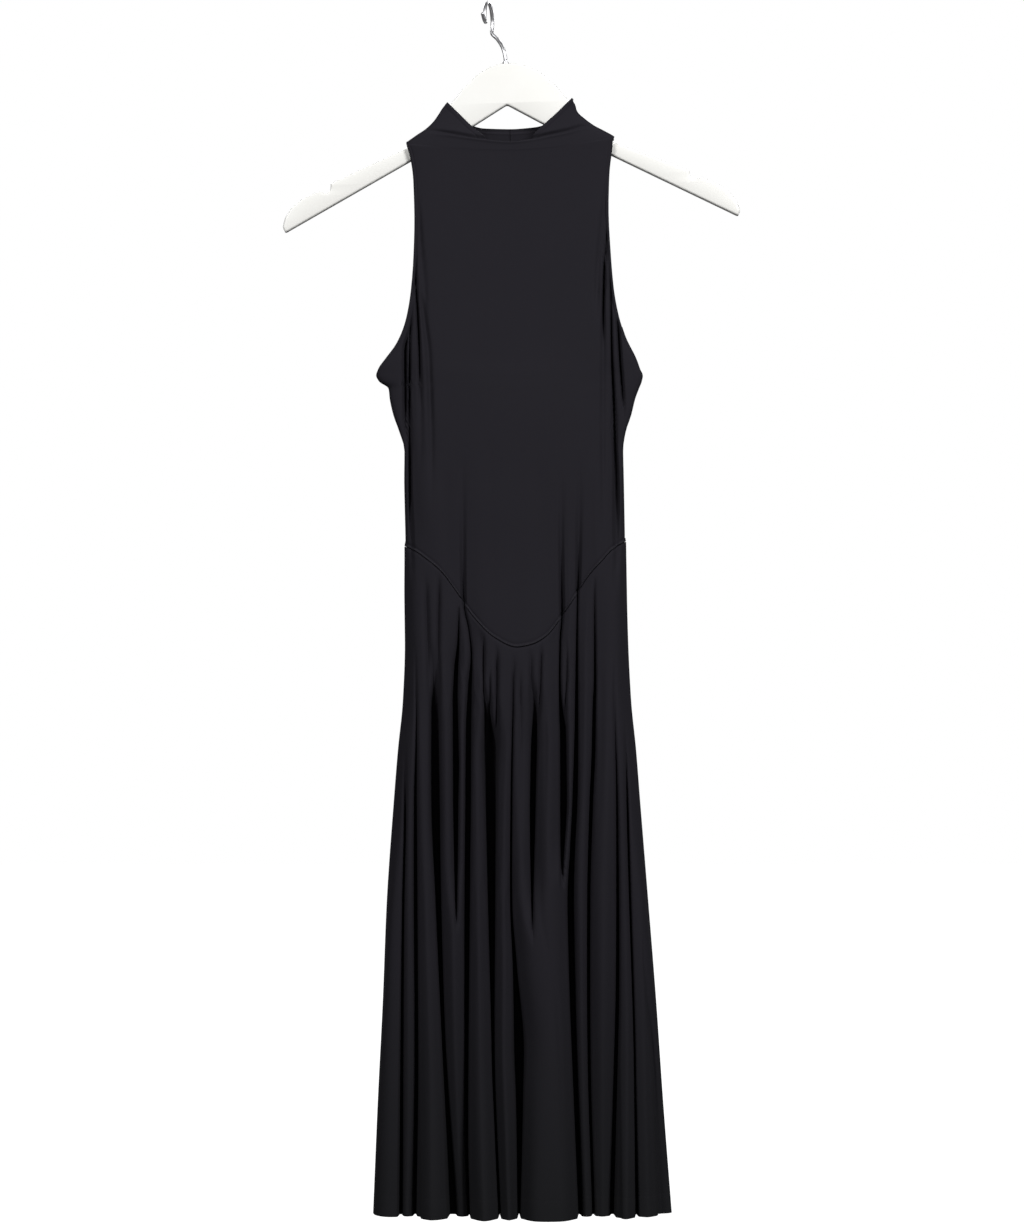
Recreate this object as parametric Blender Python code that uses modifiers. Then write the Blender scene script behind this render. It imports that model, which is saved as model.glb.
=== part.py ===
"""Sleeveless high-neck midi dress in black jersey, hung on a flat white hanger with a wire hook.

Front is -Y, up is +Z, and the origin is the inside of the hook's top, where a rail would carry it.
Tables are in millimetres: drop is the distance below the origin, across is measured from the dress's centre line.
"""

import math
from collections import namedtuple

import bpy
import numpy as np

MM = 0.001
DRESS_COLLECTION = "high_neck_dress"

# Cloth
CLOTH = 1.1  # jersey wall
SEAM = 0.18  # half the space between two panels at their seam
HANG_LINE = 18.7  # centre line right of the hook, level with the hook
LEAN = 0.01287  # the centre line's drift to the right for each millimetre of drop
HEM_DROP = 1135.5
EDGE_STEPS = (0.0, 0.1, 1.2, 3.2)  # columns this far inside a panel's edge, where it turns round the side
EDGE_RISE = 2.2  # the least depth between the first two of them, so that facing edges stay square to each other
LEAST_STEP = 0.3  # columns never come closer than this
ROW_SETTLES = 6  # rounds in which a row's columns and drops settle
LOBE_RISE = 0.10  # how far a lobe between two folds rounds forward, as a share of its width
MOST_RISE = 3.5
FOLD_LEAD = 45.0  # a fold's columns are laid this far beyond its ends
SET_BACK_FROM = 830.0  # lobes start to fall behind their neighbours here

# Each section gives the dress's reach to each side of the centre line, the depth of the front and the back from
# the middle plane, half the opening at the panels' edges, how square the section is, and the folds' share of depth.
Section = namedtuple("Section", "drop left right front back gap square fold")
SECTIONS = [
    Section(*row)
    for row in (
        (131.0, 97.3, 96.6, 12.8, 11.6, 6.8, 5.0, 0.30),
        (145.0, 93.6, 94.0, 12.4, 11.4, 6.8, 5.0, 0.30),
        (166.0, 91.0, 92.0, 12.2, 11.2, 6.8, 5.0, 0.30),
        (190.0, 90.3, 91.1, 12.0, 11.0, 6.8, 5.0, 0.30),
        (212.0, 90.6, 91.5, 12.0, 11.0, 6.6, 5.0, 0.30),
        (240.0, 91.9, 93.0, 12.0, 11.0, 6.6, 5.0, 0.32),
        (266.0, 94.2, 94.9, 12.0, 11.0, 6.6, 5.0, 0.36),
        (287.0, 97.3, 98.2, 12.2, 11.2, 6.6, 4.8, 0.40),
        (305.0, 102.3, 102.5, 12.4, 11.4, 6.5, 4.4, 0.44),
        (320.0, 109.3, 108.9, 12.6, 11.6, 6.0, 4.0, 0.46),
        (333.0, 119.1, 115.4, 12.8, 11.8, 4.8, 3.8, 0.46),
        (343.0, 126.8, 119.4, 13.0, 12.0, 1.6, 3.6, 0.46),
        (348.7, 128.8, 121.9, 13.0, 12.0, SEAM, 3.5, 0.46),
        (354.5, 126.0, 120.8, 13.0, 12.0, SEAM, 3.5, 0.46),
        (359.0, 118.5, 119.2, 13.2, 12.2, SEAM, 3.6, 0.46),
        (364.0, 116.5, 116.6, 13.2, 12.2, SEAM, 3.8, 0.46),
        (377.5, 115.8, 112.6, 13.4, 12.4, SEAM, 4.0, 0.46),
        (392.0, 110.6, 108.9, 13.6, 12.6, SEAM, 4.6, 0.46),
        (406.0, 106.5, 104.0, 13.8, 12.8, SEAM, 5.0, 0.46),
        (420.0, 103.1, 102.5, 14.0, 13.0, SEAM, 5.0, 0.46),
        (450.0, 103.7, 102.8, 14.6, 13.6, SEAM, 5.0, 0.44),
        (508.0, 103.2, 103.1, 16.5, 15.5, SEAM, 4.6, 0.42),
        (560.0, 103.9, 103.3, 18.6, 17.4, SEAM, 4.4, 0.44),
        (597.0, 103.9, 103.8, 20.5, 19.0, SEAM, 4.2, 0.50),
        (654.0, 106.5, 105.9, 25.0, 22.5, SEAM, 4.0, 0.60),
        (701.0, 111.8, 110.0, 28.5, 25.5, SEAM, 3.9, 0.64),
        (748.0, 116.2, 113.1, 31.5, 28.5, SEAM, 3.8, 0.66),
        (842.0, 124.0, 119.5, 35.5, 32.5, SEAM, 3.6, 0.69),
        (936.0, 129.0, 125.8, 38.5, 35.5, SEAM, 3.5, 0.71),
        (1030.0, 134.9, 131.1, 41.5, 38.5, SEAM, 3.4, 0.73),
        (HEM_DROP, 140.7, 137.9, 45.0, 42.0, SEAM, 3.4, 0.75),
    )
]

# The drop-waist seam, as drops at places across it. The back one is shallower.
SeamPoint = namedtuple("SeamPoint", "across front back")
YOKE_SEAM = [
    SeamPoint(*row)
    for row in (
        (-103.2, 509.5, 509.5),
        (-93.6, 514.3, 512.0),
        (-83.4, 521.6, 516.0),
        (-70.5, 532.6, 523.0),
        (-54.7, 553.7, 534.0),
        (-40.4, 575.0, 545.0),
        (-20.2, 595.3, 557.5),
        (0.0, 604.0, 562.0),
        (14.0, 601.5, 559.5),
        (26.6, 594.6, 554.0),
        (44.4, 573.0, 541.5),
        (53.3, 559.6, 534.0),
        (69.7, 535.4, 521.5),
        (80.1, 524.0, 514.5),
        (90.4, 513.0, 509.0),
        (103.1, 505.0, 505.0),
    )
]

# A fold is a channel in the cloth: the drops where it starts, is fully in, begins to leave and ends, its share of
# the section's fold depth at its start and at the hem, and how far back the cloth on its right stands at the hem.
# Its path gives, at several drops, its place across, half its width and how softly its sides turn.
Fold = namedtuple("Fold", "name start deep leaves end upper lower set_back path")
FoldPoint = namedtuple("FoldPoint", "drop across half soft")
ON = 9000.0  # a fold that runs out through the hem

LEFT_STEP = Fold(
    "left_step", 262, 350, ON, ON + 1, 0.55, 1.0, 0.0,
    ((278, -89.6, 0.8, 1.5), (316, -94.4, 0.9, 1.8), (372, -96.8, 1.0, 2.0), (429, -97.2, 0.8, 1.4),
     (503, -96.6, 0.8, 1.4), (560, -95.0, 1.0, 2.4), (655, -93.8, 1.2, 4.0), (750, -95.4, 1.4, 2.9),
     (842, -96.7, 1.7, 2.9), (983, -98.3, 1.8, 2.4), (1130, -101.9, 2.0, 1.8)),
)
LEFT_TALL = Fold(
    "left_tall", 440, 690, ON, ON + 1, 0.8, 1.0, 0.0,
    ((455, -48.4, 1.0, 6.0), (541, -49.3, 1.2, 5.0), (600, -47.6, 1.3, 4.2), (655, -46.1, 1.5, 1.5),
     (750, -47.3, 3.2, 1.4), (842, -49.3, 3.2, 1.3), (983, -51.4, 2.3, 1.4), (1070, -52.1, 1.7, 1.4),
     (1130, -51.0, 1.2, 1.4)),
)
RIGHT_SHORT = Fold(
    "right_short", 455, 690, 770, 850, 0.9, 0.95, 0.0,
    ((466, 44.2, 1.0, 5.5), (541, 42.6, 1.2, 4.6), (600, 40.6, 1.2, 4.0), (655, 39.8, 1.4, 1.4),
     (700, 41.3, 1.8, 1.2), (746, 41.2, 2.2, 1.2), (792, 39.8, 1.7, 1.2), (850, 38.0, 1.0, 1.2)),
)
RIGHT_MIDDLE = Fold(
    "right_middle", 445, 690, ON, ON + 1, 0.9, 1.0, 0.42,
    ((456, 61.4, 1.0, 5.5), (504, 59.2, 1.1, 5.0), (541, 57.4, 1.2, 4.2), (600, 56.6, 1.3, 2.4),
     (655, 54.4, 1.8, 1.4), (700, 52.8, 1.9, 1.2), (746, 51.4, 2.2, 1.2), (792, 49.4, 2.5, 1.2),
     (842, 47.4, 3.6, 1.4), (931, 48.0, 3.2, 1.4), (983, 48.8, 2.8, 1.4), (1130, 51.9, 2.0, 1.4)),
)
RIGHT_SOFT = Fold(
    "right_soft", 232, 340, ON, ON + 1, 0.7, 1.0, 0.12,
    ((240, 86.4, 0.8, 1.4), (285, 90.6, 0.9, 2.0), (349, 92.8, 1.1, 2.4), (429, 94.2, 1.3, 2.6),
     (503, 95.0, 1.2, 2.8), (560, 91.4, 1.2, 4.0), (655, 90.6, 1.2, 3.6), (750, 91.6, 1.2, 2.7),
     (842, 91.2, 1.3, 3.2), (931, 90.0, 1.8, 3.0), (983, 88.3, 2.0, 2.6), (1130, 83.0, 2.6, 2.0)),
)

FRONT_BODICE_FOLDS = [LEFT_STEP, LEFT_TALL, RIGHT_SHORT, RIGHT_MIDDLE, RIGHT_SOFT]

FRONT_SKIRT_FOLDS = [
    Fold(
        "left_rim", 690, 800, ON, ON + 1, 0.8, 0.9, 0.30,
        ((700, -104.6, 1.2, 1.5), (750, -105.6, 1.5, 1.5), (842, -108.9, 1.6, 1.5), (983, -112.3, 2.2, 1.5),
         (1130, -115.4, 2.6, 1.5)),
    ),
    LEFT_STEP,
    Fold(
        "left_wide", 575, 705, ON, ON + 1, 1.0, 1.0, 0.45,
        ((600, -73.2, 1.4, 3.0), (655, -75.9, 2.3, 1.6), (750, -77.8, 4.2, 1.5), (842, -76.2, 2.6, 1.4),
         (983, -72.8, 1.7, 1.4), (1070, -69.2, 2.8, 1.4), (1130, -66.7, 4.4, 1.4)),
    ),
    Fold(
        "left_short", 546, 660, 800, 885, 1.0, 1.0, 0.45,
        ((560, -61.7, 1.2, 3.0), (655, -58.2, 2.5, 1.4), (750, -58.9, 2.6, 1.3), (842, -59.6, 1.2, 1.2),
         (900, -60.0, 1.0, 1.2)),
    ),
    LEFT_TALL,
    Fold(
        "left_middle", 618, 720, ON, ON + 1, 1.0, 1.0, 0.0,
        ((655, -29.2, 2.4, 1.5), (700, -26.2, 6.4, 1.5), (750, -26.2, 5.6, 1.5), (842, -26.5, 3.8, 1.5),
         (978, -26.8, 1.5, 1.5), (1070, -24.7, 1.4, 1.5), (1130, -22.7, 1.5, 1.5)),
    ),
    Fold(
        "centre", 612, 860, ON, ON + 1, 0.6, 1.0, 0.0,
        ((655, -4.1, 1.0, 1.6), (750, -6.8, 1.2, 1.4), (842, -8.2, 1.2, 1.4), (900, -5.6, 2.2, 1.6),
         (978, -2.6, 6.2, 1.8), (1024, -2.8, 4.3, 1.6), (1130, -4.6, 1.5, 1.4)),
    ),
    Fold(
        "centre_short", 608, 700, 800, 885, 0.9, 0.9, 0.0,
        ((610, 20.5, 1.2, 2.0), (655, 17.4, 1.8, 1.5), (700, 14.9, 3.0, 1.4), (750, 13.2, 2.6, 1.4),
         (842, 11.4, 1.2, 1.4), (885, 11.0, 1.0, 1.4)),
    ),
    RIGHT_SHORT,
    RIGHT_MIDDLE,
    Fold(
        "right_tall", 545, 690, ON, ON + 1, 0.9, 0.95, 0.46,
        ((560, 71.9, 1.2, 3.2), (600, 70.6, 1.3, 3.0), (655, 70.0, 1.6, 2.4), (700, 68.0, 1.7, 1.8),
         (750, 66.3, 1.7, 1.8), (842, 64.2, 1.5, 1.5), (983, 62.7, 1.6, 1.4), (1130, 64.9, 1.9, 1.4)),
    ),
    RIGHT_SOFT,
    Fold(
        "right_step", 668, 800, ON, ON + 1, 0.8, 0.9, 0.16,
        ((701, 100.2, 1.0, 1.4), (750, 101.2, 1.4, 1.4), (842, 102.8, 1.4, 1.4), (983, 105.0, 1.2, 1.4),
         (1130, 105.2, 1.9, 1.4)),
    ),
    Fold(
        "right_rim", 900, 1000, ON, ON + 1, 0.6, 0.9, 0.80,
        ((905, 113.6, 1.0, 1.4), (931, 116.4, 1.2, 1.4), (978, 121.6, 1.4, 1.4), (1024, 123.8, 1.8, 1.4),
         (1070, 125.0, 2.0, 1.4), (1130, 127.0, 2.4, 1.4)),
    ),
]

BACK_BODICE_FOLDS = [
    Fold(
        "left_side", 255, 345, 480, 505, 1.0, 1.0, 0.0,
        ((285, -90.6, 0.9, 1.8), (349, -94.2, 1.1, 2.6), (429, -94.8, 1.3, 2.8), (503, -92.0, 1.2, 3.2)),
    ),
    Fold(
        "right_side", 250, 345, 480, 505, 1.0, 1.0, 0.0,
        ((285, 90.2, 0.9, 2.2), (349, 92.6, 1.1, 2.6), (429, 93.6, 1.3, 2.8), (503, 91.6, 1.2, 3.2)),
    ),
]

BACK_SKIRT_FOLDS = [
    Fold(
        "left_rim", 640, 740, ON, ON + 1, 0.7, 0.9, 0.20,
        ((660, -97.5, 1.3, 1.6), (842, -107.0, 1.8, 1.6), (1130, -119.0, 2.4, 1.6)),
    ),
    Fold(
        "left_outer", 545, 690, ON, ON + 1, 0.8, 1.0, 0.0,
        ((600, -75.0, 1.2, 3.0), (700, -80.0, 2.6, 1.8), (842, -86.0, 2.4, 1.6), (1130, -92.5, 3.2, 1.6)),
    ),
    Fold(
        "left_wide", 560, 690, ON, ON + 1, 1.0, 1.0, 0.35,
        ((600, -55.0, 1.6, 3.0), (700, -58.0, 4.0, 1.8), (842, -61.0, 3.4, 1.6), (1130, -67.5, 2.4, 1.6)),
    ),
    Fold(
        "left_tall", 580, 720, ON, ON + 1, 0.8, 1.0, 0.0,
        ((620, -35.0, 1.4, 3.0), (720, -37.0, 2.2, 1.8), (842, -39.0, 3.2, 1.6), (1130, -42.0, 2.0, 1.6)),
    ),
    Fold(
        "centre_left", 590, 730, ON, ON + 1, 1.0, 1.0, 0.0,
        ((630, -16.0, 1.4, 3.0), (720, -14.0, 3.4, 1.8), (842, -14.5, 2.6, 1.6), (1130, -18.5, 2.0, 1.6)),
    ),
    Fold(
        "centre_right", 600, 740, ON, ON + 1, 0.9, 1.0, 0.30,
        ((640, 6.5, 1.4, 3.0), (720, 8.5, 3.2, 1.8), (842, 9.5, 4.2, 1.6), (1130, 8.0, 2.0, 1.6)),
    ),
    Fold(
        "right_tall", 580, 720, ON, ON + 1, 0.8, 1.0, 0.0,
        ((620, 28.5, 1.4, 3.0), (720, 29.5, 2.4, 1.8), (842, 31.5, 2.6, 1.6), (1130, 36.5, 2.6, 1.6)),
    ),
    Fold(
        "right_wide", 555, 690, ON, ON + 1, 1.0, 1.0, 0.25,
        ((600, 50.0, 1.6, 3.0), (700, 50.5, 4.2, 1.8), (842, 53.0, 3.6, 1.6), (1130, 60.0, 2.0, 1.6)),
    ),
    Fold(
        "right_outer", 540, 690, ON, ON + 1, 0.8, 1.0, 0.0,
        ((600, 71.0, 1.2, 3.0), (700, 74.0, 2.2, 1.8), (842, 78.5, 2.0, 1.6), (1130, 86.0, 3.0, 1.6)),
    ),
    Fold(
        "right_rim", 645, 745, ON, ON + 1, 0.7, 0.9, 0.25,
        ((700, 96.0, 1.3, 1.6), (842, 102.5, 1.6, 1.6), (1130, 112.5, 2.2, 1.6)),
    ),
]

# Rows of the bodice above the seam: the drop at each side and how far the front's middle hangs below them.
Row = namedtuple("Row", "left right dip")
BODICE_ROWS = [
    Row(*row)
    for row in (
        (480.0, 477.0, 72.0),
        (450.0, 447.0, 48.0),
        (420.0, 420.0, 31.0),
        (402.0, 402.0, 22.0),
        (386.0, 386.0, 15.0),
        (372.0, 371.0, 10.0),
        (361.0, 361.0, 7.0),
        (354.5, 354.5, 5.0),
        (348.7, 348.7, 4.0),
        (343.0, 342.0, 3.0),
        (333.0, 331.0, 2.0),
        (318.0, 315.0, 1.0),
        (298.0, 295.0, 0.0),
        (270.0, 267.0, 0.0),
        (236.0, 233.0, 0.0),
        (200.0, 197.0, 0.0),
        (166.0, 162.0, 2.0),
        (144.0, 139.0, 6.5),
        (133.4, 127.8, 9.1),
    )
]
SHARES_FROM = 14  # from this row upwards the columns keep their shares of the width
UPPER_ROWS_FROM = 180.0  # rows above this drop sag like the shoulder rows

# Rows over the shoulders: where each end lies on the shoulder line, the dip in the middle and the depth there.
ShoulderRow = namedtuple("ShoulderRow", "left left_drop right right_drop dip front back")
SHOULDER_ROWS = [
    ShoulderRow(*row)
    for row in (
        (-97.5, 131.2, 97.8, 125.4, 9.3, 12.8, 11.6),
        (-88.5, 124.2, 89.0, 119.9, 12.5, 12.8, 11.6),
        (-79.0, 117.8, 80.0, 115.2, 14.6, 12.6, 11.4),
    )
]
SHOULDER_SAG = 1.7  # the power by which a shoulder row falls away towards its middle

# Rows up the collar: how far up each is from the last shoulder row, and how far its ends have come in.
CollarRow = namedtuple("CollarRow", "up left_in right_in")
COLLAR_ROWS = [
    CollarRow(*row)
    for row in (
        (0.26, 0.34, 0.45),
        (0.5, 0.56, 0.76),
        (0.75, 0.76, 0.88),
        (1.0, 1.0, 1.0),
    )
]
COLLAR_HALF = 58.5  # half the distance between the collar's peaks
COLLAR_SQUARE = 8.0

# The neck edge from one peak to the other: share of the collar's half width, and the drop.
NeckPoint = namedtuple("NeckPoint", "share drop")
FRONT_NECK = [
    NeckPoint(*row)
    for row in (
        (-1.0, 92.6),
        (-0.8, 104.1),
        (-0.59, 116.1),
        (-0.42, 123.8),
        (-0.3, 128.6),
        (-0.04, 133.2),
        (0.24, 128.5),
        (0.5, 115.5),
        (0.74, 103.2),
        (1.0, 88.6),
    )
]
BACK_NECK = [
    NeckPoint(*row)
    for row in (
        (-1.0, 92.6),
        (-0.8, 104.5),
        (-0.6, 112.6),
        (-0.42, 115.1),
        (0.0, 115.8),
        (0.36, 114.3),
        (0.5, 112.8),
        (0.76, 103.0),
        (1.0, 88.6),
    )
]
FRONT_NECK_DEPTH = 7.0
BACK_NECK_DEPTH = 9.4

# Rows of the skirts, as shares of the way from the seam to the hem
BESIDE_SEAM = 1.2  # a second row this far from the seam keeps both panels' edges level
FRONT_SKIRT_ROWS = (0.0, 0.0022, 0.05, 0.105, 0.165, 0.23, 0.3, 0.38, 0.465, 0.555, 0.65, 0.75, 0.87, 1.0)
BACK_SKIRT_ROWS = (0.0, 0.0022, 0.06, 0.13, 0.205, 0.29, 0.39, 0.5, 0.62, 0.75, 0.88, 1.0)

# The widest space between two columns of each panel
SKIRT_STEP = 8.0
BODICE_STEP = 13.0

# Hanger
HANGER_THICKNESS = 10.0
HANGER_ROUND = 2.0  # radius of its long edges
HANGER_TILT = math.radians(2.13)  # its left end hangs lower
HANGER_TOP = (16.0, 55.9)  # where the hook enters: distance right of the origin, and drop
HangerPoint = namedtuple("HangerPoint", "left right down")
HANGER_DOME = [
    HangerPoint(*row)
    for row in (
        (-5.0, 8.0, 0.0),
        (-15.0, 20.0, 2.8),
        (-27.0, 32.5, 9.4),
        (-41.5, 46.5, 22.5),
        (-53.0, 57.5, 36.5),
        (-60.3, 61.8, 46.0),
        (-67.0, 67.5, 54.2),
        (-76.2, 75.5, 61.6),
        (-87.0, 85.0, 69.2),
        (-97.0, 95.5, 76.6),
    )
]
HANGER_ARM = [
    HangerPoint(*row)
    for row in (
        (-168.3, 168.8, 106.6),
        (-168.6, 169.2, 112.4),
        (-173.0, 173.4, 116.2),
        (-179.5, 180.5, 113.2),
        (-196.0, 195.0, 120.3),
        (-206.0, 205.5, 128.0),
        (-212.5, 212.5, 137.5),
        (-214.8, 215.1, 146.0),
        (-212.6, 213.2, 151.2),
        (-94.0, 95.0, 89.0),
        (-32.0, 32.2, 57.3),
    )
]
HANGER_APEX = 38.6

# Hook
WIRE = 3.5
HOOK_INNER = 15.25
HOOK_TURN = math.radians(12)  # the loop is seen nearly from its edge
HOOK_SWEEP = (-30.0, 180.0)  # degrees round the loop, from behind over the top to the front
HOOK_STEM = ((16.0, 0.0, -55.55), (15.8, 0.0, -50.5), (14.6, 1.0, -44.0), (12.2, 4.4, -37.6), (8.4, 9.6, -31.0))
HOOK_FLICK = ((-2.6, -17.4, -19.6), (-3.6, -21.0, -18.4), (-5.2, -24.5, -13.0))
LOOP_STEPS = 18
WIRE_STEPS = 42


def through(stations, values, at):
    """Monotone cubic through a table's stations, held level past its ends."""
    stations = np.asarray(stations, float)
    values = np.asarray(values, float)
    steps = np.diff(stations)
    rises = np.diff(values) / steps
    slopes = np.concatenate([rises[:1], np.zeros(len(values) - 2), rises[-1:]])
    same_way = rises[:-1] * rises[1:] > 0
    slopes[1:-1][same_way] = 2 / (1 / rises[:-1][same_way] + 1 / rises[1:][same_way])
    at = np.clip(np.asarray(at, float), stations[0], stations[-1])
    k = np.clip(np.searchsorted(stations, at, side="right") - 1, 0, len(steps) - 1)
    t = (at - stations[k]) / steps[k]
    start = (1 + 2 * t) * (1 - t) ** 2 * values[k] + t * (1 - t) ** 2 * steps[k] * slopes[k]
    return start + t**2 * (3 - 2 * t) * values[k + 1] + t**2 * (t - 1) * steps[k] * slopes[k + 1]


def column(table, name):
    return [getattr(row, name) for row in table]


def section(name, drop):
    return through(column(SECTIONS, "drop"), column(SECTIONS, name), drop)


def yoke(side, across):
    return through(column(YOKE_SEAM, "across"), column(YOKE_SEAM, side), across)


def seam_space(side, across):
    """How far down a panel's edge lies from the seam, so that the space is the same where the seam slopes."""
    slope = (yoke(side, across + 1) - yoke(side, across - 1)) / 2
    return SEAM * np.sqrt(1 + slope**2)


def eased(t):
    t = np.clip(t, 0.0, 1.0)
    return t * t * (3 - 2 * t)


def channel(fold, drop):
    """A fold at these drops: its place across, half its width, how softly it turns, and how far it is present."""
    points = [FoldPoint(*point) for point in fold.path]
    stations = column(points, "drop")
    centre, half, soft = (through(stations, column(points, name), drop) for name in ("across", "half", "soft"))
    present = eased((drop - fold.start) / (fold.deep - fold.start))
    return centre, half, soft, present * eased((fold.end - drop) / (fold.end - fold.leaves))


def relief(side, folds, across, drop):
    """The share of the depth that the folds take away at each point: channels, steps back from one fold to the
    next, and between each two folds a gentle rise, which fades as another fold comes in between them."""
    channels = [channel(fold, drop) for fold in folds]
    grows = eased((drop - SET_BACK_FROM) / (HEM_DROP - SET_BACK_FROM))
    level = np.zeros_like(across)
    behind = 0.0
    for fold, (centre, half, _, _) in zip(folds, channels):
        level = level + (fold.set_back - behind) * grows * np.clip((across - centre + half / 2) / half, 0, 1)
        behind = fold.set_back
    pressed = np.zeros_like(across)
    for fold, (centre, half, soft, present) in zip(folds, channels):
        share = fold.upper + (fold.lower - fold.upper) * eased((drop - fold.start) / (HEM_DROP - fold.start))
        inside = np.clip((half + soft - np.abs(across - centre)) / (half / 2 + soft), 0, 1)
        pressed = np.maximum(pressed, np.maximum(share * present * section("fold", drop) - level, 0) * inside)
    rise = np.zeros_like(across)
    for i in range(len(folds) - 1):
        clear = channels[i][3]
        for j in range(i + 1, min(i + 4, len(folds))):
            start = channels[i][0] + channels[i][1] + channels[i][2]
            width = np.maximum(channels[j][0] - channels[j][1] - channels[j][2] - start, 1.0)
            t = np.clip((across - start) / width, 0, 1)
            rise = rise + clear * channels[j][3] * np.minimum(LOBE_RISE * width, MOST_RISE) * 4 * t * (1 - t)
            clear = clear * (1 - channels[j][3])
    return level + pressed - rise / section(side, drop)


def anchors(folds, drop, part):
    """Where a row's fixed columns lie across at these drops: its ends, turned round the sides, and the corners of
    each fold. A part is the whole panel or the half on one side of the centre line."""
    steps = np.array(EDGE_STEPS)[:, None]
    middle = np.zeros((1, len(drop)))
    places = [middle + SEAM if part == "right" else steps - section("left", drop)]
    for fold in folds:
        centre, half, soft, _ = channel(fold, drop)
        places.append(np.array([centre - half - soft, centre - half / 2, centre + half / 2, centre + half + soft]))
    places.append(middle - SEAM if part == "left" else section("right", drop) - steps[::-1])
    places = np.concatenate(places)
    rank = LEAST_STEP * np.arange(len(places))[:, None]
    return np.maximum.accumulate(places - rank, axis=0) + rank


def anchor_names(folds, part):
    ends = range(len(EDGE_STEPS))
    names = ["middle"] if part == "right" else [f"left_{k}" for k in ends]
    names += [f"{fold.name}_{k}" for fold in folds for k in range(4)]
    return names + (["middle"] if part == "left" else [f"right_{k}" for k in ends])


def hung(across, drop, depth):
    """Points in metres, where depth is towards the front."""
    return np.stack([HANG_LINE + LEAN * drop + across, -depth, -drop], axis=-1) * MM


def rounded(share, square):
    """Depth of a section with round sides, from nothing at its edges to one in its middle."""
    return (1 - np.clip(np.abs(share), 0, 1) ** square) ** (1 / square)


def depth_at(side, folds, across, drop):
    """Depth of a panel below the shoulders: the rounded section, less its folds."""
    share = np.where(across < 0, across / section("left", drop), across / section("right", drop))
    gap = section("gap", drop)
    body = (section(side, drop) - gap) * rounded(share, section("square", drop))
    return gap + body * (1 - relief(side, folds, across, drop))


def reaches(fold, drop_of):
    """Whether a fold is present where a row crosses it."""
    drop = np.array([fold.path[0][0]])
    for _ in range(ROW_SETTLES):
        drop = drop_of(channel(fold, drop)[0])
    return fold.start - FOLD_LEAD < drop[0] < fold.end + FOLD_LEAD


def settled(folds, columns, start, drop_of, part):
    """Where a row's columns lie and how low they are, each of which depends on the other."""
    k = np.array([place for place, _ in columns])
    share = np.array([share for _, share in columns])
    index = np.arange(len(k))
    drop = np.full(len(k), float(start))
    for _ in range(ROW_SETTLES):
        places = anchors(folds, drop, part)
        across = places[k, index] + (places[k + 1, index] - places[k, index]) * share
        drop = drop_of(across)
    return across, drop


def laid_row(side, folds, start, drop_of, widest, part="whole"):
    """A row across a panel, with columns at its ends, at the corners of the folds that reach it and between them."""
    here = [fold for fold in folds if reaches(fold, drop_of)]
    names = anchor_names(here, part)
    fixed = [(k, 0.0) for k in range(len(names) - 1)] + [(len(names) - 2, 1.0)]
    gaps = np.diff(settled(here, fixed, start, drop_of, part)[0])
    columns = []
    keys = []
    for k, gap in enumerate(gaps):
        steps = max(1, math.ceil(gap / widest))
        columns += [(k, step / steps) for step in range(steps)]
        keys += [names[k]] + [""] * (steps - 1)
    across, drop = settled(here, columns + [fixed[-1]], start, drop_of, part)
    return PanelRow(across, drop, depth_at(side, folds, across, drop), keys + [names[-1]])


PanelRow = namedtuple("PanelRow", "across drop depth keys")


def skirt_rows(side, folds, shares):
    """Rows of a skirt from its seam down to its hem."""
    rows = []
    for share in shares:

        def drop_of(across, share=share):
            seam = yoke(side, across) + seam_space(side, across)
            return seam + share * (HEM_DROP - seam)

        rows.append(laid_row(side, folds, 560 + share * 575, drop_of, SKIRT_STEP))
    return rows


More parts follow.
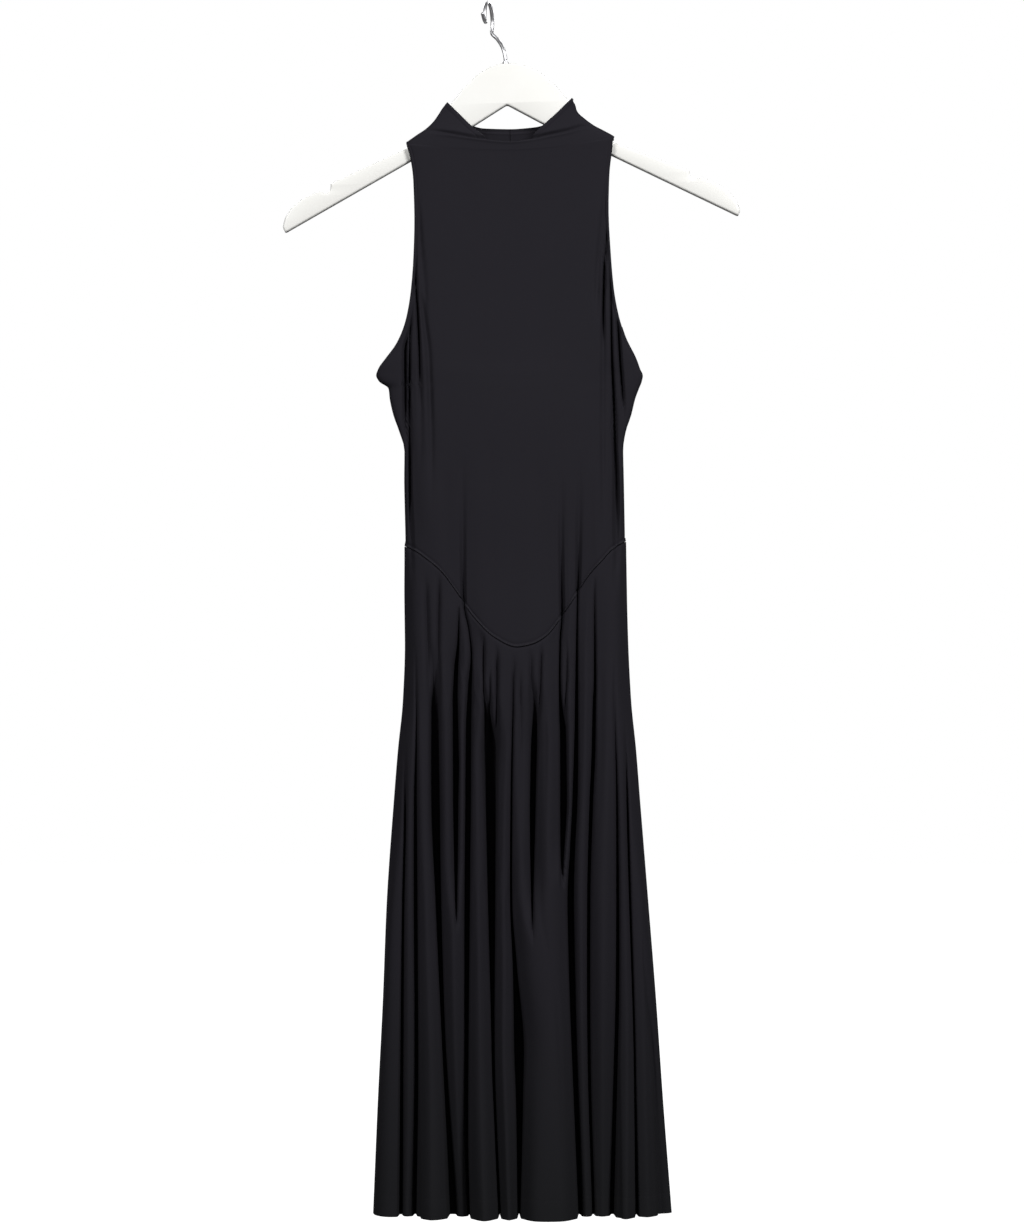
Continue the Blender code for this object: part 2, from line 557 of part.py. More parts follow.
def bodice_rows(side, folds, seam_row, part="whole"):
    """Rows of a bodice panel from its seam up to the neck edge, with the collar grown on."""
    rows = []
    for above in (0.0, BESIDE_SEAM):
        across = seam_row.across
        drop = seam_row.drop - 2 * seam_space(side, across) - above
        rows.append(PanelRow(across, drop, depth_at(side, folds, across, drop), seam_row.keys))
    hang = (yoke(side, 0.0) - yoke(side, -103.0)) / (yoke("front", 0.0) - yoke("front", -103.0))
    for row in BODICE_ROWS:
        left, right = section("left", row.left), section("right", row.right)

        def drop_of(across, row=row, left=left, right=right):
            level = row.left + (row.right - row.left) * np.clip((across + left) / (left + right), 0, 1)
            if row.left < UPPER_ROWS_FROM:
                share = np.clip(np.abs(np.where(across < 0, across / left, across / right)), 0, 1)
                return level + row.dip * (1 - share**SHOULDER_SAG)
            bend = (yoke("front", across) - yoke("front", -103.2)) / (yoke("front", 0.0) - yoke("front", -103.2))
            return level + row.dip * hang * np.clip(bend, 0, 1)

        if len(rows) < SHARES_FROM:
            rows.append(laid_row(side, folds, row.left, drop_of, BODICE_STEP, part))
            keys = rows[-1].keys
            shares = np.where(rows[-1].across < 0, rows[-1].across / left, rows[-1].across / right)
        else:
            across = along(shares, left, right, part)
            drop = drop_of(across)
            rows.append(PanelRow(across, drop, depth_at(side, folds, across, drop), keys))
    for row in SHOULDER_ROWS:
        across = along(shares, -row.left, row.right, part)
        level = np.where(across < 0, row.left_drop, row.right_drop)
        middle = (row.left_drop + row.right_drop) / 2 + row.dip
        drop = level + (middle - level) * (1 - np.abs(shares) ** SHOULDER_SAG)
        deepest = row.front if side == "front" else row.back
        rows.append(PanelRow(across, drop, SEAM + (deepest - SEAM) * rounded(shares, 5.0), keys))
    crest = rows[-1]
    neck = FRONT_NECK if side == "front" else BACK_NECK
    edge_across = along(shares, COLLAR_HALF, COLLAR_HALF, part)
    edge_drop = through(column(neck, "share"), column(neck, "drop"), shares)
    deepest = FRONT_NECK_DEPTH if side == "front" else BACK_NECK_DEPTH
    edge_depth = SEAM + (deepest - SEAM) * rounded(shares, COLLAR_SQUARE)
    tucked = np.clip((edge_drop - crest.drop) / 6, 0, 1)
    for row in COLLAR_ROWS:
        inward = np.where(crest.across < 0, row.left_in, row.right_in)
        across = crest.across + (edge_across - crest.across) * inward
        rise = row.up + tucked * (row.up**2 - row.up)
        drop = crest.drop + (edge_drop - crest.drop) * rise
        depth = crest.depth + (edge_depth - crest.depth) * (1 - (1 - row.up) ** 1.3)
        rows.append(PanelRow(across, drop, depth, keys))
    return rows


def along(shares, left, right, part):
    """Places across from shares of the reach, kept clear of the centre seam on a half panel."""
    across = np.where(shares < 0, shares * left, shares * right)
    if part == "left":
        across[-1] = -SEAM
    if part == "right":
        across[0] = SEAM
    return across


def edged(across, depth):
    """The row's depth, with the cloth at its outer ends square to the middle plane."""
    depth = depth.copy()
    if across[0] < -SEAM:
        depth[1] = max(depth[1], depth[0] + EDGE_RISE)
    if across[-1] > SEAM:
        depth[-2] = max(depth[-2], depth[-1] + EDGE_RISE)
    return depth


def faces_between(lower, upper, lower_ids, upper_ids):
    """Faces from one row up to the next. Between the fixed columns that both rows have, parts of unlike length are
    joined by triangles, so a fold can begin or end there."""
    faces = []
    shared = [key for key in lower.keys if key and key in upper.keys]
    for first, last in zip(shared, shared[1:]):
        i, i_end = lower.keys.index(first), lower.keys.index(last)
        j, j_end = upper.keys.index(first), upper.keys.index(last)
        low, high = lower.across[i : i_end + 1], upper.across[j : j_end + 1]
        if len(low) == len(high):
            for k in range(len(low) - 1):
                faces.append((lower_ids[i + k], lower_ids[i + k + 1], upper_ids[j + k + 1], upper_ids[j + k]))
            continue
        low, high = (low - low[0]) / (low[-1] - low[0]), (high - high[0]) / (high[-1] - high[0])
        a = b = 0
        while a < len(low) - 1 or b < len(high) - 1:
            if b == len(high) - 1 or (a < len(low) - 1 and low[a + 1] <= high[b + 1]):
                faces.append((lower_ids[i + a], lower_ids[i + a + 1], upper_ids[j + b]))
                a += 1
            else:
                faces.append((lower_ids[i + a], upper_ids[j + b + 1], upper_ids[j + b]))
                b += 1
    return faces


def cloth_panel(name, rows, side, upwards, finish):
    """An open sheet through the rows, thickened inwards to the jersey's wall."""
    points = []
    faces = []
    ids = []
    for row in rows:
        depth = edged(row.across, row.depth)
        ids.append(list(range(len(points), len(points) + len(depth))))
        points += hung(row.across, row.drop, depth if side == "front" else -depth).tolist()
    for k in range(len(rows) - 1):
        below, above = (k, k + 1) if upwards else (k + 1, k)
        faces += faces_between(rows[below], rows[above], ids[below], ids[above])
    if side == "back":
        faces = [face[::-1] for face in faces]
    mesh = bpy.data.meshes.new(name)
    mesh.from_pydata(points, [], faces)
    mesh.shade_smooth()
    obj = keep(bpy.data.objects.new(name, mesh), finish)
    wall = obj.modifiers.new("wall", "SOLIDIFY")
    wall.thickness = CLOTH * MM
    wall.offset = -1.0
    wall.use_even_offset = True
    wall.use_quality_normals = True
    return obj


def material(name, colour, roughness, metallic=0.0):
    made = bpy.data.materials.new(name)
    made.use_nodes = True
    shader = made.node_tree.nodes["Principled BSDF"]
    shader.inputs["Base Color"].default_value = (*colour, 1.0)
    shader.inputs["Roughness"].default_value = roughness
    shader.inputs["Metallic"].default_value = metallic
    return made


def keep(obj, finish):
    """Puts the object in the dress's collection with its own material."""
    bpy.data.collections[DRESS_COLLECTION].objects.link(obj)
    obj.data.materials.append(finish)
    return obj


def hanger_body(finish):
    """Flat outline with a domed neck, notched arms and an inverted V below."""
    down = column(HANGER_DOME, "down")
    places = np.linspace(0, 1, len(down))
    finer = np.linspace(0, 1, 2 * len(down) - 1)
    lows = through(places, down, finer)
    dome_left = list(zip(through(places, column(HANGER_DOME, "left"), finer), lows))
    dome_right = list(zip(through(places, column(HANGER_DOME, "right"), finer), lows))
    arm_left = [(row.left, row.down) for row in HANGER_ARM]
    arm_right = [(row.right, row.down) for row in HANGER_ARM]
    outline = dome_right + arm_right + [(0.0, HANGER_APEX)] + arm_left[::-1] + dome_left[::-1]
    curve = bpy.data.curves.new("hanger_body", "CURVE")
    curve.dimensions = "2D"
    curve.fill_mode = "BOTH"
    curve.extrude = (HANGER_THICKNESS / 2 - HANGER_ROUND) * MM
    curve.bevel_depth = HANGER_ROUND * MM
    curve.bevel_resolution = 1
    curve.offset = -HANGER_ROUND * MM
    spline = curve.splines.new("POLY")
    spline.points.add(len(outline) - 1)
    for point, (right, below) in zip(spline.points, outline):
        point.co = (right * MM, -below * MM, 0, 1)
    spline.use_cyclic_u = True
    obj = keep(bpy.data.objects.new("hanger_body", curve), finish)
    obj.location = (HANGER_TOP[0] * MM, 0, -HANGER_TOP[1] * MM)
    obj.rotation_euler = (math.pi / 2, -HANGER_TILT, 0)
    return obj


def hook(finish):
    """One bent wire: a stem, a loop seen nearly from its edge, and a tip flicked outwards."""
    radius = HOOK_INNER + WIRE / 2
    turns = np.radians(np.linspace(HOOK_SWEEP[0], HOOK_SWEEP[1], LOOP_STEPS))
    reach = radius * np.cos(turns)
    height = radius * np.sin(turns) - HOOK_INNER
    loop = np.stack([reach * math.sin(HOOK_TURN), reach * math.cos(HOOK_TURN), height], axis=1)
    route = np.concatenate([HOOK_STEM, loop, HOOK_FLICK])
    lengths = np.linalg.norm(np.diff(route, axis=0), axis=1)
    distance = np.concatenate([[0], np.cumsum(lengths)])
    even = np.linspace(0, distance[-1], WIRE_STEPS)
    route = np.stack([through(distance, route[:, axis], even) for axis in range(3)], axis=1)
    curve = bpy.data.curves.new("hook", "CURVE")
    curve.dimensions = "3D"
    curve.bevel_depth = WIRE / 2 * MM
    curve.bevel_resolution = 2
    curve.use_fill_caps = True
    spline = curve.splines.new("POLY")
    spline.points.add(len(route) - 1)
    for point, place in zip(spline.points, route):
        point.co = (*(place * MM), 1)
    return keep(bpy.data.objects.new("hook", curve), finish)


def main():
    for obj in list(bpy.data.objects):
        bpy.data.objects.remove(obj)
    bpy.context.scene.collection.children.link(bpy.data.collections.new(DRESS_COLLECTION))
    jersey = (0.018, 0.017, 0.021)
    front_skirt = skirt_rows("front", FRONT_SKIRT_FOLDS, FRONT_SKIRT_ROWS)
    back_skirt = skirt_rows("back", BACK_SKIRT_FOLDS, BACK_SKIRT_ROWS)
    cloth_panel("front_skirt", front_skirt, "front", False, material("front_skirt", jersey, 0.8))
    cloth_panel("back_skirt", back_skirt, "back", False, material("back_skirt", jersey, 0.8))
    front = bodice_rows("front", FRONT_BODICE_FOLDS, front_skirt[0])
    cloth_panel("front_bodice", front, "front", True, material("front_bodice", jersey, 0.8))
    seam = back_skirt[0]
    on_left = int((seam.across < -4 * SEAM).sum())
    on_right = int((seam.across > 4 * SEAM).sum())
    left_across = np.append(seam.across[:on_left], -SEAM)
    right_across = np.insert(seam.across[-on_right:], 0, SEAM)
    left_drop, right_drop = (np.interp(across, seam.across, seam.drop) for across in (left_across, right_across))
    left_seam = PanelRow(left_across, left_drop, None, seam.keys[:on_left] + ["middle"])
    right_seam = PanelRow(right_across, right_drop, None, ["middle"] + seam.keys[-on_right:])
    left_back = bodice_rows("back", BACK_BODICE_FOLDS[:1], left_seam, "left")
    cloth_panel("back_bodice_left", left_back, "back", True, material("back_bodice_left", jersey, 0.8))
    right_back = bodice_rows("back", BACK_BODICE_FOLDS[1:], right_seam, "right")
    cloth_panel("back_bodice_right", right_back, "back", True, material("back_bodice_right", jersey, 0.8))
    hanger_body(material("hanger_body", (0.9, 0.89, 0.86), 0.4))
    hook(material("hook", (0.7, 0.7, 0.72), 0.25, 1.0))


main()
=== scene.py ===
# Looks of a sleeveless high-neck jersey dress on a white hanger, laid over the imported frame.
# Front is -Y, up is +Z, and the origin is the inside of the hook's top.
# Tables are in millimetres: drop is the distance below the origin, and across is measured from the dress's
# centre line.
import math
from collections import namedtuple

import bpy
import numpy as np
from mathutils.geometry import tessellate_polygon
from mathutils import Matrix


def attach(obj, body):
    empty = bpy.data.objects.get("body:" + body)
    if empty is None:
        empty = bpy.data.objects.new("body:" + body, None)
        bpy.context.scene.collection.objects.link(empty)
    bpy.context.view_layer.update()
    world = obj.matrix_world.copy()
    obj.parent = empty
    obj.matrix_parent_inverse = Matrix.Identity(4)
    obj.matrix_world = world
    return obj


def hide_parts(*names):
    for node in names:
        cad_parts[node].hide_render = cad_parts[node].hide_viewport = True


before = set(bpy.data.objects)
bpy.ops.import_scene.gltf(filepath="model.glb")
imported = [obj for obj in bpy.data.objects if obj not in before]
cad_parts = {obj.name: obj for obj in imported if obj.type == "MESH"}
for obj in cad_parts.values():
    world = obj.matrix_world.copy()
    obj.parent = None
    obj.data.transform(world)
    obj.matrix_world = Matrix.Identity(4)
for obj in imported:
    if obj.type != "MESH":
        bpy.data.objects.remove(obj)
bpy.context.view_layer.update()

mm = 0.001

# How steeply the front face falls away to the side edges: drop, rise for each millimetre in from the edge
rimRows = (
    (430.0, 9.0), (480.0, 2.0), (520.0, 1.5), (640.0, 1.45), (760.0, 1.8), (880.0, 4.0), (1135.0, 9.0),
)

dress = {
    "hangLine": 18.7,  # centre line right of the hook, level with the hook
    "lean": 0.01287,  # the centre line's drift to the right for each millimetre of drop
    "hem": 1135.5,
    "wall": 1.1,
    "seam": 0.18,  # half the space between bodice and skirt
    "lobeRise": 0.10,  # how far a lobe between two folds rounds forward, as a share of its width
    "mostRise": 3.5,
    "setBackFrom": 830.0,  # lobes start to fall behind their neighbours here
    "foldsDeeper": 1.12,  # than the solids' folds
    "rimHalf": 1.5,  # half the dress's thickness at its side edges
    "rimSharp": 6.0,  # how sharply the rim's plane meets the rounded section
    "leastDepth": 2.0,  # no crease comes nearer to the middle of the dress
    "creaseIn": (0.3, 26.0),  # a crease fades in over this share of its length, and over no more than this
    "creaseOut": 0.5,
    "levelOff": 30,  # the higher, the nearer to the side edges a crease may run
}

# A fold across its path: a slot with steep flanks, and a wide bell round it, both wider for a softer fold
foldProfile = {
    "slot": 0.66,
    "reach": 0.9,
    "flank": (0.25, 1.2),  # shares of the half width and of the softness
    "bell": 0.34,
    "bellWider": (2.8, 4.0),  # share of the softness, millimetres
}

# Level sections: drop, reach left and right, depth front and back, half the side opening, squareness, and the
# folds' share of the depth
sectionNames = ("drop", "left", "right", "front", "back", "gap", "square", "fold")
sectionRows = np.array([
    (131.0, 97.3, 96.6, 12.8, 11.6, 6.8, 5.0, 0.30),
    (145.0, 93.6, 94.0, 12.4, 11.4, 6.8, 5.0, 0.30),
    (166.0, 91.0, 92.0, 12.2, 11.2, 6.8, 5.0, 0.30),
    (190.0, 90.3, 91.1, 12.0, 11.0, 6.8, 5.0, 0.30),
    (212.0, 90.6, 91.5, 12.0, 11.0, 6.6, 5.0, 0.30),
    (240.0, 91.9, 93.0, 12.0, 11.0, 6.6, 5.0, 0.32),
    (266.0, 94.2, 94.9, 12.0, 11.0, 6.6, 5.0, 0.36),
    (287.0, 97.3, 98.2, 12.2, 11.2, 6.6, 4.8, 0.40),
    (305.0, 102.3, 102.5, 12.4, 11.4, 6.5, 4.4, 0.60),
    (320.0, 109.3, 108.9, 12.6, 11.6, 6.0, 4.0, 0.66),
    (333.0, 119.1, 115.4, 12.8, 11.8, 4.8, 3.8, 0.70),
    (343.0, 126.8, 119.4, 13.0, 12.0, 1.6, 3.6, 0.72),
    (348.7, 128.8, 121.9, 13.0, 12.0, 0.0, 3.5, 0.72),
    (354.5, 126.0, 120.8, 13.0, 12.0, 0.0, 3.5, 0.72),
    (359.0, 118.5, 119.2, 13.2, 12.2, 0.0, 3.6, 0.72),
    (364.0, 116.5, 116.6, 13.2, 12.2, 0.0, 3.8, 0.72),
    (377.5, 115.8, 112.6, 13.4, 12.4, 0.0, 4.0, 0.72),
    (392.0, 110.6, 108.9, 13.6, 12.6, 0.0, 4.6, 0.72),
    (406.0, 106.5, 104.0, 13.8, 12.8, 0.0, 5.0, 0.72),
    (420.0, 103.1, 102.5, 14.0, 13.0, 0.0, 5.0, 0.72),
    (450.0, 103.7, 102.8, 14.6, 13.6, 0.0, 5.0, 0.72),
    (508.0, 103.2, 103.1, 16.5, 15.5, 0.0, 4.6, 0.70),
    (560.0, 103.9, 103.3, 18.6, 17.4, 0.0, 4.4, 0.70),
    (597.0, 103.9, 103.8, 20.5, 19.0, 0.0, 4.2, 0.70),
    (654.0, 106.5, 105.9, 25.0, 22.5, 0.0, 4.0, 0.72),
    (701.0, 111.8, 110.0, 28.5, 25.5, 0.0, 3.9, 0.73),
    (748.0, 116.2, 113.1, 31.5, 28.5, 0.0, 3.5, 0.74),
    (842.0, 124.0, 119.5, 35.5, 32.5, 0.0, 3.0, 0.75),
    (936.0, 129.0, 125.8, 38.5, 35.5, 0.0, 2.8, 0.75),
    (1030.0, 134.9, 131.1, 41.5, 38.5, 0.0, 2.6, 0.75),
    (1135.5, 140.7, 137.9, 45.0, 42.0, 0.0, 2.5, 0.75),
])

# The drop-waist seam: across, drop in front, drop behind
yokeRows = np.array([
    (-103.2, 509.5, 509.5), (-93.6, 514.3, 512.0), (-83.4, 521.6, 516.0), (-70.5, 532.6, 523.0),
    (-54.7, 553.7, 534.0), (-40.4, 575.0, 545.0), (-20.2, 595.3, 557.5), (0.0, 604.0, 562.0),
    (14.0, 601.5, 559.5), (26.6, 594.6, 554.0), (44.4, 573.0, 541.5), (53.3, 559.6, 534.0),
    (69.7, 535.4, 521.5), (80.1, 524.0, 514.5), (90.4, 513.0, 509.0), (103.1, 505.0, 505.0),
])

# A fold: the drops where it starts, is fully in, leaves and ends, its share of the fold depth at its start
# and at the hem, how far back the cloth on its right stands at the hem, and its path: drop, across, half
# width and softness
foldShape = namedtuple("foldShape", "start deep leaves end upper lower setBack path")
runsOut = (9000.0, 9001.0)  # a fold that leaves through the hem

leftStep = foldShape(
    275, 400, 455, 556, 1.0, 1.0, 0.0,
    ((278, -90.4, 0.4, 0.8), (316, -95.8, 0.5, 0.8), (372, -97.4, 0.7, 0.9), (429, -97.9, 1.4, 1.0),
     (463, -98.0, 1.6, 1.2), (503, -97.4, 1.2, 3.0), (560, -95.4, 1.0, 3.4)),
)
leftRim = foldShape(
    600, 800, *runsOut, 0.8, 1.0, 0.0,
    ((600, -94.6, 0.6, 1.8), (655, -94.0, 0.8, 1.8), (750, -96.4, 2.0, 1.8), (842, -97.4, 2.4, 1.6),
     (983, -98.3, 2.2, 1.5), (1130, -101.9, 2.2, 1.4)),
)
leftTall = foldShape(
    420, 690, *runsOut, 0.85, 1.0, 0.0,
    ((440, -48.4, 1.0, 5.0), (541, -49.3, 1.0, 3.0), (566, -48.6, 0.9, 2.4), (586, -44.6, 0.9, 1.8),
     (612, -42.4, 1.3, 1.5), (640, -44.2, 2.8, 1.8), (680, -46.0, 3.9, 1.8), (750, -47.3, 3.8, 1.6),
     (842, -49.3, 3.5, 1.4), (983, -51.4, 2.5, 1.4), (1070, -52.1, 1.9, 1.4), (1130, -51.0, 1.4, 1.4)),
)
rightShort = foldShape(
    435, 690, 770, 850, 1.0, 1.0, 0.0,
    ((456, 44.2, 1.0, 5.0), (522, 42.8, 1.0, 2.8), (572, 43.0, 1.0, 2.6), (596, 40.9, 1.1, 1.8),
     (640, 39.9, 1.4, 1.4), (664, 40.6, 2.6, 1.4), (682, 42.4, 4.2, 1.4), (748, 42.0, 4.5, 1.4),
     (792, 40.2, 2.9, 1.4), (850, 38.0, 1.1, 1.2)),
)
rightMiddle = foldShape(
    425, 660, *runsOut, 1.0, 1.0, 0.42,
    ((446, 61.4, 1.0, 5.0), (504, 59.4, 1.0, 3.6), (541, 58.4, 1.0, 2.6), (562, 57.4, 0.9, 1.8),
     (616, 56.1, 1.7, 1.4), (679, 54.9, 2.5, 1.3), (748, 52.6, 3.4, 1.3), (792, 49.8, 3.4, 1.3),
     (842, 47.4, 4.2, 1.4), (931, 48.0, 3.8, 1.4), (983, 48.8, 3.3, 1.4), (1130, 51.9, 2.3, 1.4)),
)
rightSoft = foldShape(
    245, 390, 465, 562, 1.0, 1.0, 0.0,
    ((254, 90.4, 0.4, 0.8), (269, 92.3, 0.5, 0.9), (325, 92.8, 0.7, 1.0), (374, 94.1, 1.2, 1.0),
     (414, 94.6, 1.9, 1.0), (443, 95.2, 2.2, 1.6), (503, 94.9, 1.6, 3.6), (560, 91.8, 1.2, 3.6)),
)
rightRim = foldShape(
    600, 860, *runsOut, 0.7, 1.0, 0.12,
    ((600, 91.0, 0.8, 2.4), (655, 90.6, 0.9, 2.4), (750, 91.6, 1.3, 2.0), (842, 91.2, 1.7, 2.0),
     (931, 90.0, 2.2, 2.0), (983, 88.3, 2.4, 1.8), (1130, 83.0, 2.8, 1.6)),
)

frontBodice = {
    "flat": (0.28, 0.54),  # metres: the whole cut piece, widest width and length
    "area": 0.11,
    "columns": 300,
    "folds": [leftStep, leftTall, rightShort, rightMiddle, rightSoft],
    # soft creases: width, depth, path of drop and across
    "creases": [
        (2.2, 3.4, ((184, -86.8), (215, -86.0), (240, -84.3), (266, -81.8), (304, -79.6))),
        (0.8, 2.0, ((200, -88.7), (222, -88.2), (262, -90.6), (300, -95.2))),
        (1.2, 8.0, ((236, -91.0), (266, -90.0), (294, -88.6), (326, -87.6), (384, -87.1))),
        (2.4, 2.2, ((325, -87.2), (384, -87.1), (446, -88.6))),
        (1.7, 9.5, ((300, -95.6), (312, -98.6), (325, -100.9), (380, -101.6), (428, -102.4))),
        (0.9, 5.0, ((280, -93.0), (295, -94.9), (325, -96.7), (380, -97.6), (420, -97.9))),
        (2.6, 3.6, ((262, -86.4), (285, -84.0), (334, -78.9), (404, -77.5), (476, -77.2))),
        (2.4, 3.6, ((170, 88.8), (187, 87.7), (215, 84.8), (238, 82.0), (269, 79.6), (306, 79.2))),
        (1.2, 9.0, ((200, 90.4), (226, 89.1), (246, 86.9), (262, 86.2), (295, 85.1), (330, 84.6))),
        (2.4, 2.4, ((280, 85.3), (340, 84.4), (384, 83.7), (515, 82.4))),
        (0.8, 2.2, ((222, 90.0), (238, 90.9), (274, 93.4), (304, 97.2))),
        (1.0, 5.0, ((250, 91.4), (269, 92.5), (325, 92.7), (374, 94.1), (430, 94.8))),
        (1.4, 8.0, ((282, 97.4), (301, 98.9), (335, 100.6), (374, 102.9), (408, 104.2))),
        (5.5, 0.9, ((430, -64.0), (500, -63.0), (590, -60.0))),
        (6.0, 0.7, ((420, 24.0), (500, 23.0), (620, 20.0))),
        (7.0, 0.6, ((400, -22.0), (500, -24.0), (620, -26.0))),
        (5.0, 0.7, ((440, 72.0), (500, 71.0), (560, 70.5))),
    ],
}

frontSkirt = {
    "flat": (1.05, 0.66),
    "area": 0.4,
    "columns": 460,
    "middleRows": 80,
    "folds": [
        foldShape(
            690, 800, *runsOut, 0.8, 0.9, 0.30,
            ((700, -104.6, 1.2, 1.5), (750, -105.6, 1.5, 1.5), (842, -108.9, 1.6, 1.5),
             (983, -112.3, 2.2, 1.5), (1130, -115.4, 2.6, 1.5)),
        ),
        leftStep,
        leftRim,
        foldShape(
            600, 690, *runsOut, 1.15, 1.0, 0.45,
            ((640, -77.2, 2.4, 2.2), (662, -77.4, 5.0, 1.6), (750, -77.8, 5.8, 1.4), (842, -76.2, 3.6, 1.4),
             (983, -72.8, 2.3, 1.4), (1070, -69.2, 3.4, 1.4), (1130, -66.7, 4.8, 1.4)),
        ),
        foldShape(
            557, 622, 800, 885, 1.15, 1.0, 0.45,
            ((566, -53.3, 0.8, 1.2), (600, -54.6, 1.6, 1.2), (620, -56.6, 2.8, 1.3), (655, -58.2, 3.4, 1.3),
             (710, -58.2, 4.0, 1.3), (750, -58.9, 3.4, 1.3), (842, -59.6, 1.7, 1.2), (900, -60.0, 1.0, 1.2)),
        ),
        leftTall,
        foldShape(
            640, 712, *runsOut, 1.22, 1.0, 0.0,
            ((655, -29.2, 2.0, 1.6), (680, -27.0, 5.6, 1.6), (700, -26.2, 7.4, 1.5), (750, -26.2, 6.6, 1.4),
             (842, -26.5, 4.6, 1.4), (978, -26.8, 1.9, 1.4), (1070, -24.7, 1.5, 1.4),
             (1130, -22.7, 1.6, 1.4)),
        ),
        foldShape(
            612, 790, *runsOut, 0.8, 1.1, 0.0,
            ((655, -4.1, 1.0, 1.8), (750, -6.8, 1.3, 1.4), (842, -8.2, 1.4, 1.4), (900, -5.6, 2.4, 1.6),
             (978, -2.6, 6.2, 1.6), (1024, -2.8, 4.4, 1.5), (1130, -4.6, 1.7, 1.4)),
        ),
        foldShape(
            636, 700, 800, 885, 1.1, 1.0, 0.0,
            ((655, 16.5, 1.9, 1.6), (700, 14.9, 4.0, 1.4), (750, 13.2, 3.7, 1.3), (842, 11.4, 1.7, 1.2),
             (885, 11.0, 1.0, 1.2)),
        ),
        rightShort,
        rightMiddle,
        foldShape(
            532, 640, *runsOut, 1.0, 1.0, 0.46,
            ((545, 73.5, 0.8, 1.8), (600, 73.2, 1.0, 2.2), (640, 72.8, 1.7, 1.6), (655, 72.0, 2.2, 1.4),
             (700, 70.6, 2.5, 1.4), (750, 67.8, 2.4, 1.4), (842, 64.2, 2.0, 1.4), (983, 62.7, 2.0, 1.4),
             (1130, 64.9, 2.0, 1.4)),
        ),
        rightRim,
        rightSoft,
        foldShape(
            668, 800, *runsOut, 0.8, 0.9, 0.16,
            ((701, 100.2, 1.0, 1.4), (750, 101.2, 1.4, 1.4), (842, 102.8, 1.4, 1.4), (983, 105.0, 1.2, 1.4),
             (1130, 105.2, 1.9, 1.4)),
        ),
        foldShape(
            900, 1000, *runsOut, 0.6, 0.9, 0.80,
            ((905, 113.6, 1.0, 1.4), (931, 116.4, 1.2, 1.4), (978, 121.6, 1.4, 1.4), (1024, 123.8, 1.8, 1.4),
             (1070, 125.0, 2.0, 1.4), (1130, 127.0, 2.4, 1.4)),
        ),
    ],
    "creases": [
        (2.2, 4.2, ((532, -71.6), (552, -71.9), (607, -73.0), (647, -72.8), (690, -73.4))),
        (2.8, 4.0, ((536, -83.9), (561, -83.7), (607, -82.9), (654, -81.4), (700, -79.6))),
        (3.0, 2.4, ((582, -33.5), (600, -33.2), (645, -32.0))),
        (1.3, 6.5, ((590, -30.0), (624, -30.9), (660, -31.4), (725, -31.8))),
        (1.5, 6.5, ((622, -25.0), (660, -25.2), (725, -25.6))),
        (2.2, 6.0, ((600, -18.6), (632, -18.8), (679, -19.4), (735, -19.8))),
        (2.2, 2.4, ((620, 2.6), (680, 2.4), (760, 1.5), (830, 1.0))),
        (2.2, 2.4, ((606, -2.6), (640, -3.4), (700, -5.0))),
        (2.6, 4.4, ((602.5, 12.4), (620, 12.8), (655, 13.4), (695, 14.4))),
        (2.0, 5.0, ((597, 23.6), (608, 22.9), (647, 21.4), (680, 18.4), (704, 16.0))),
        (1.6, 6.0, ((600, 47.6), (632, 46.7), (663, 44.8), (695, 43.4))),
        (2.4, 0.7, ((800, 21.0), (842, 20.0), (940, 33.0), (1000, 35.0), (1110, 37.0))),
        (3.0, 0.7, ((640, 3.0), (720, 3.6), (830, 2.0))),
        (2.4, 0.8, ((640, 27.5), (700, 27.0), (780, 26.0))),
        (3.0, 0.6, ((620, 80.0), (720, 78.5), (1000, 74.0))),
        (2.6, 0.6, ((900, -38.0), (1000, -38.5), (1120, -37.5))),
        (3.0, 0.6, ((860, -86.0), (960, -86.5), (1120, -84.0))),
    ],
}

backBodice = {  # each half
    "flat": (0.15, 0.5),
    "area": 0.05,
    "columns": 150,
    "folds": [
        foldShape(
            255, 345, 480, 505, 1.0, 1.0, 0.0,
            ((285, -90.6, 0.9, 1.8), (349, -94.2, 1.1, 2.6), (429, -94.8, 1.3, 2.8), (503, -92.0, 1.2, 3.2)),
        ),
        foldShape(
            250, 345, 480, 505, 1.0, 1.0, 0.0,
            ((285, 90.2, 0.9, 2.2), (349, 92.6, 1.1, 2.6), (429, 93.6, 1.3, 2.8), (503, 91.6, 1.2, 3.2)),
        ),
    ],
    "creases": [
        (3.2, 0.8, ((200, -82.0), (320, -83.5), (450, -82.0))),
        (3.0, 0.8, ((220, 79.0), (330, 81.0), (470, 79.5))),
        (6.0, 0.6, ((400, -44.0), (480, -45.0), (560, -42.0))),
        (6.5, 0.6, ((390, 40.0), (470, 39.0), (560, 41.0))),
    ],
}

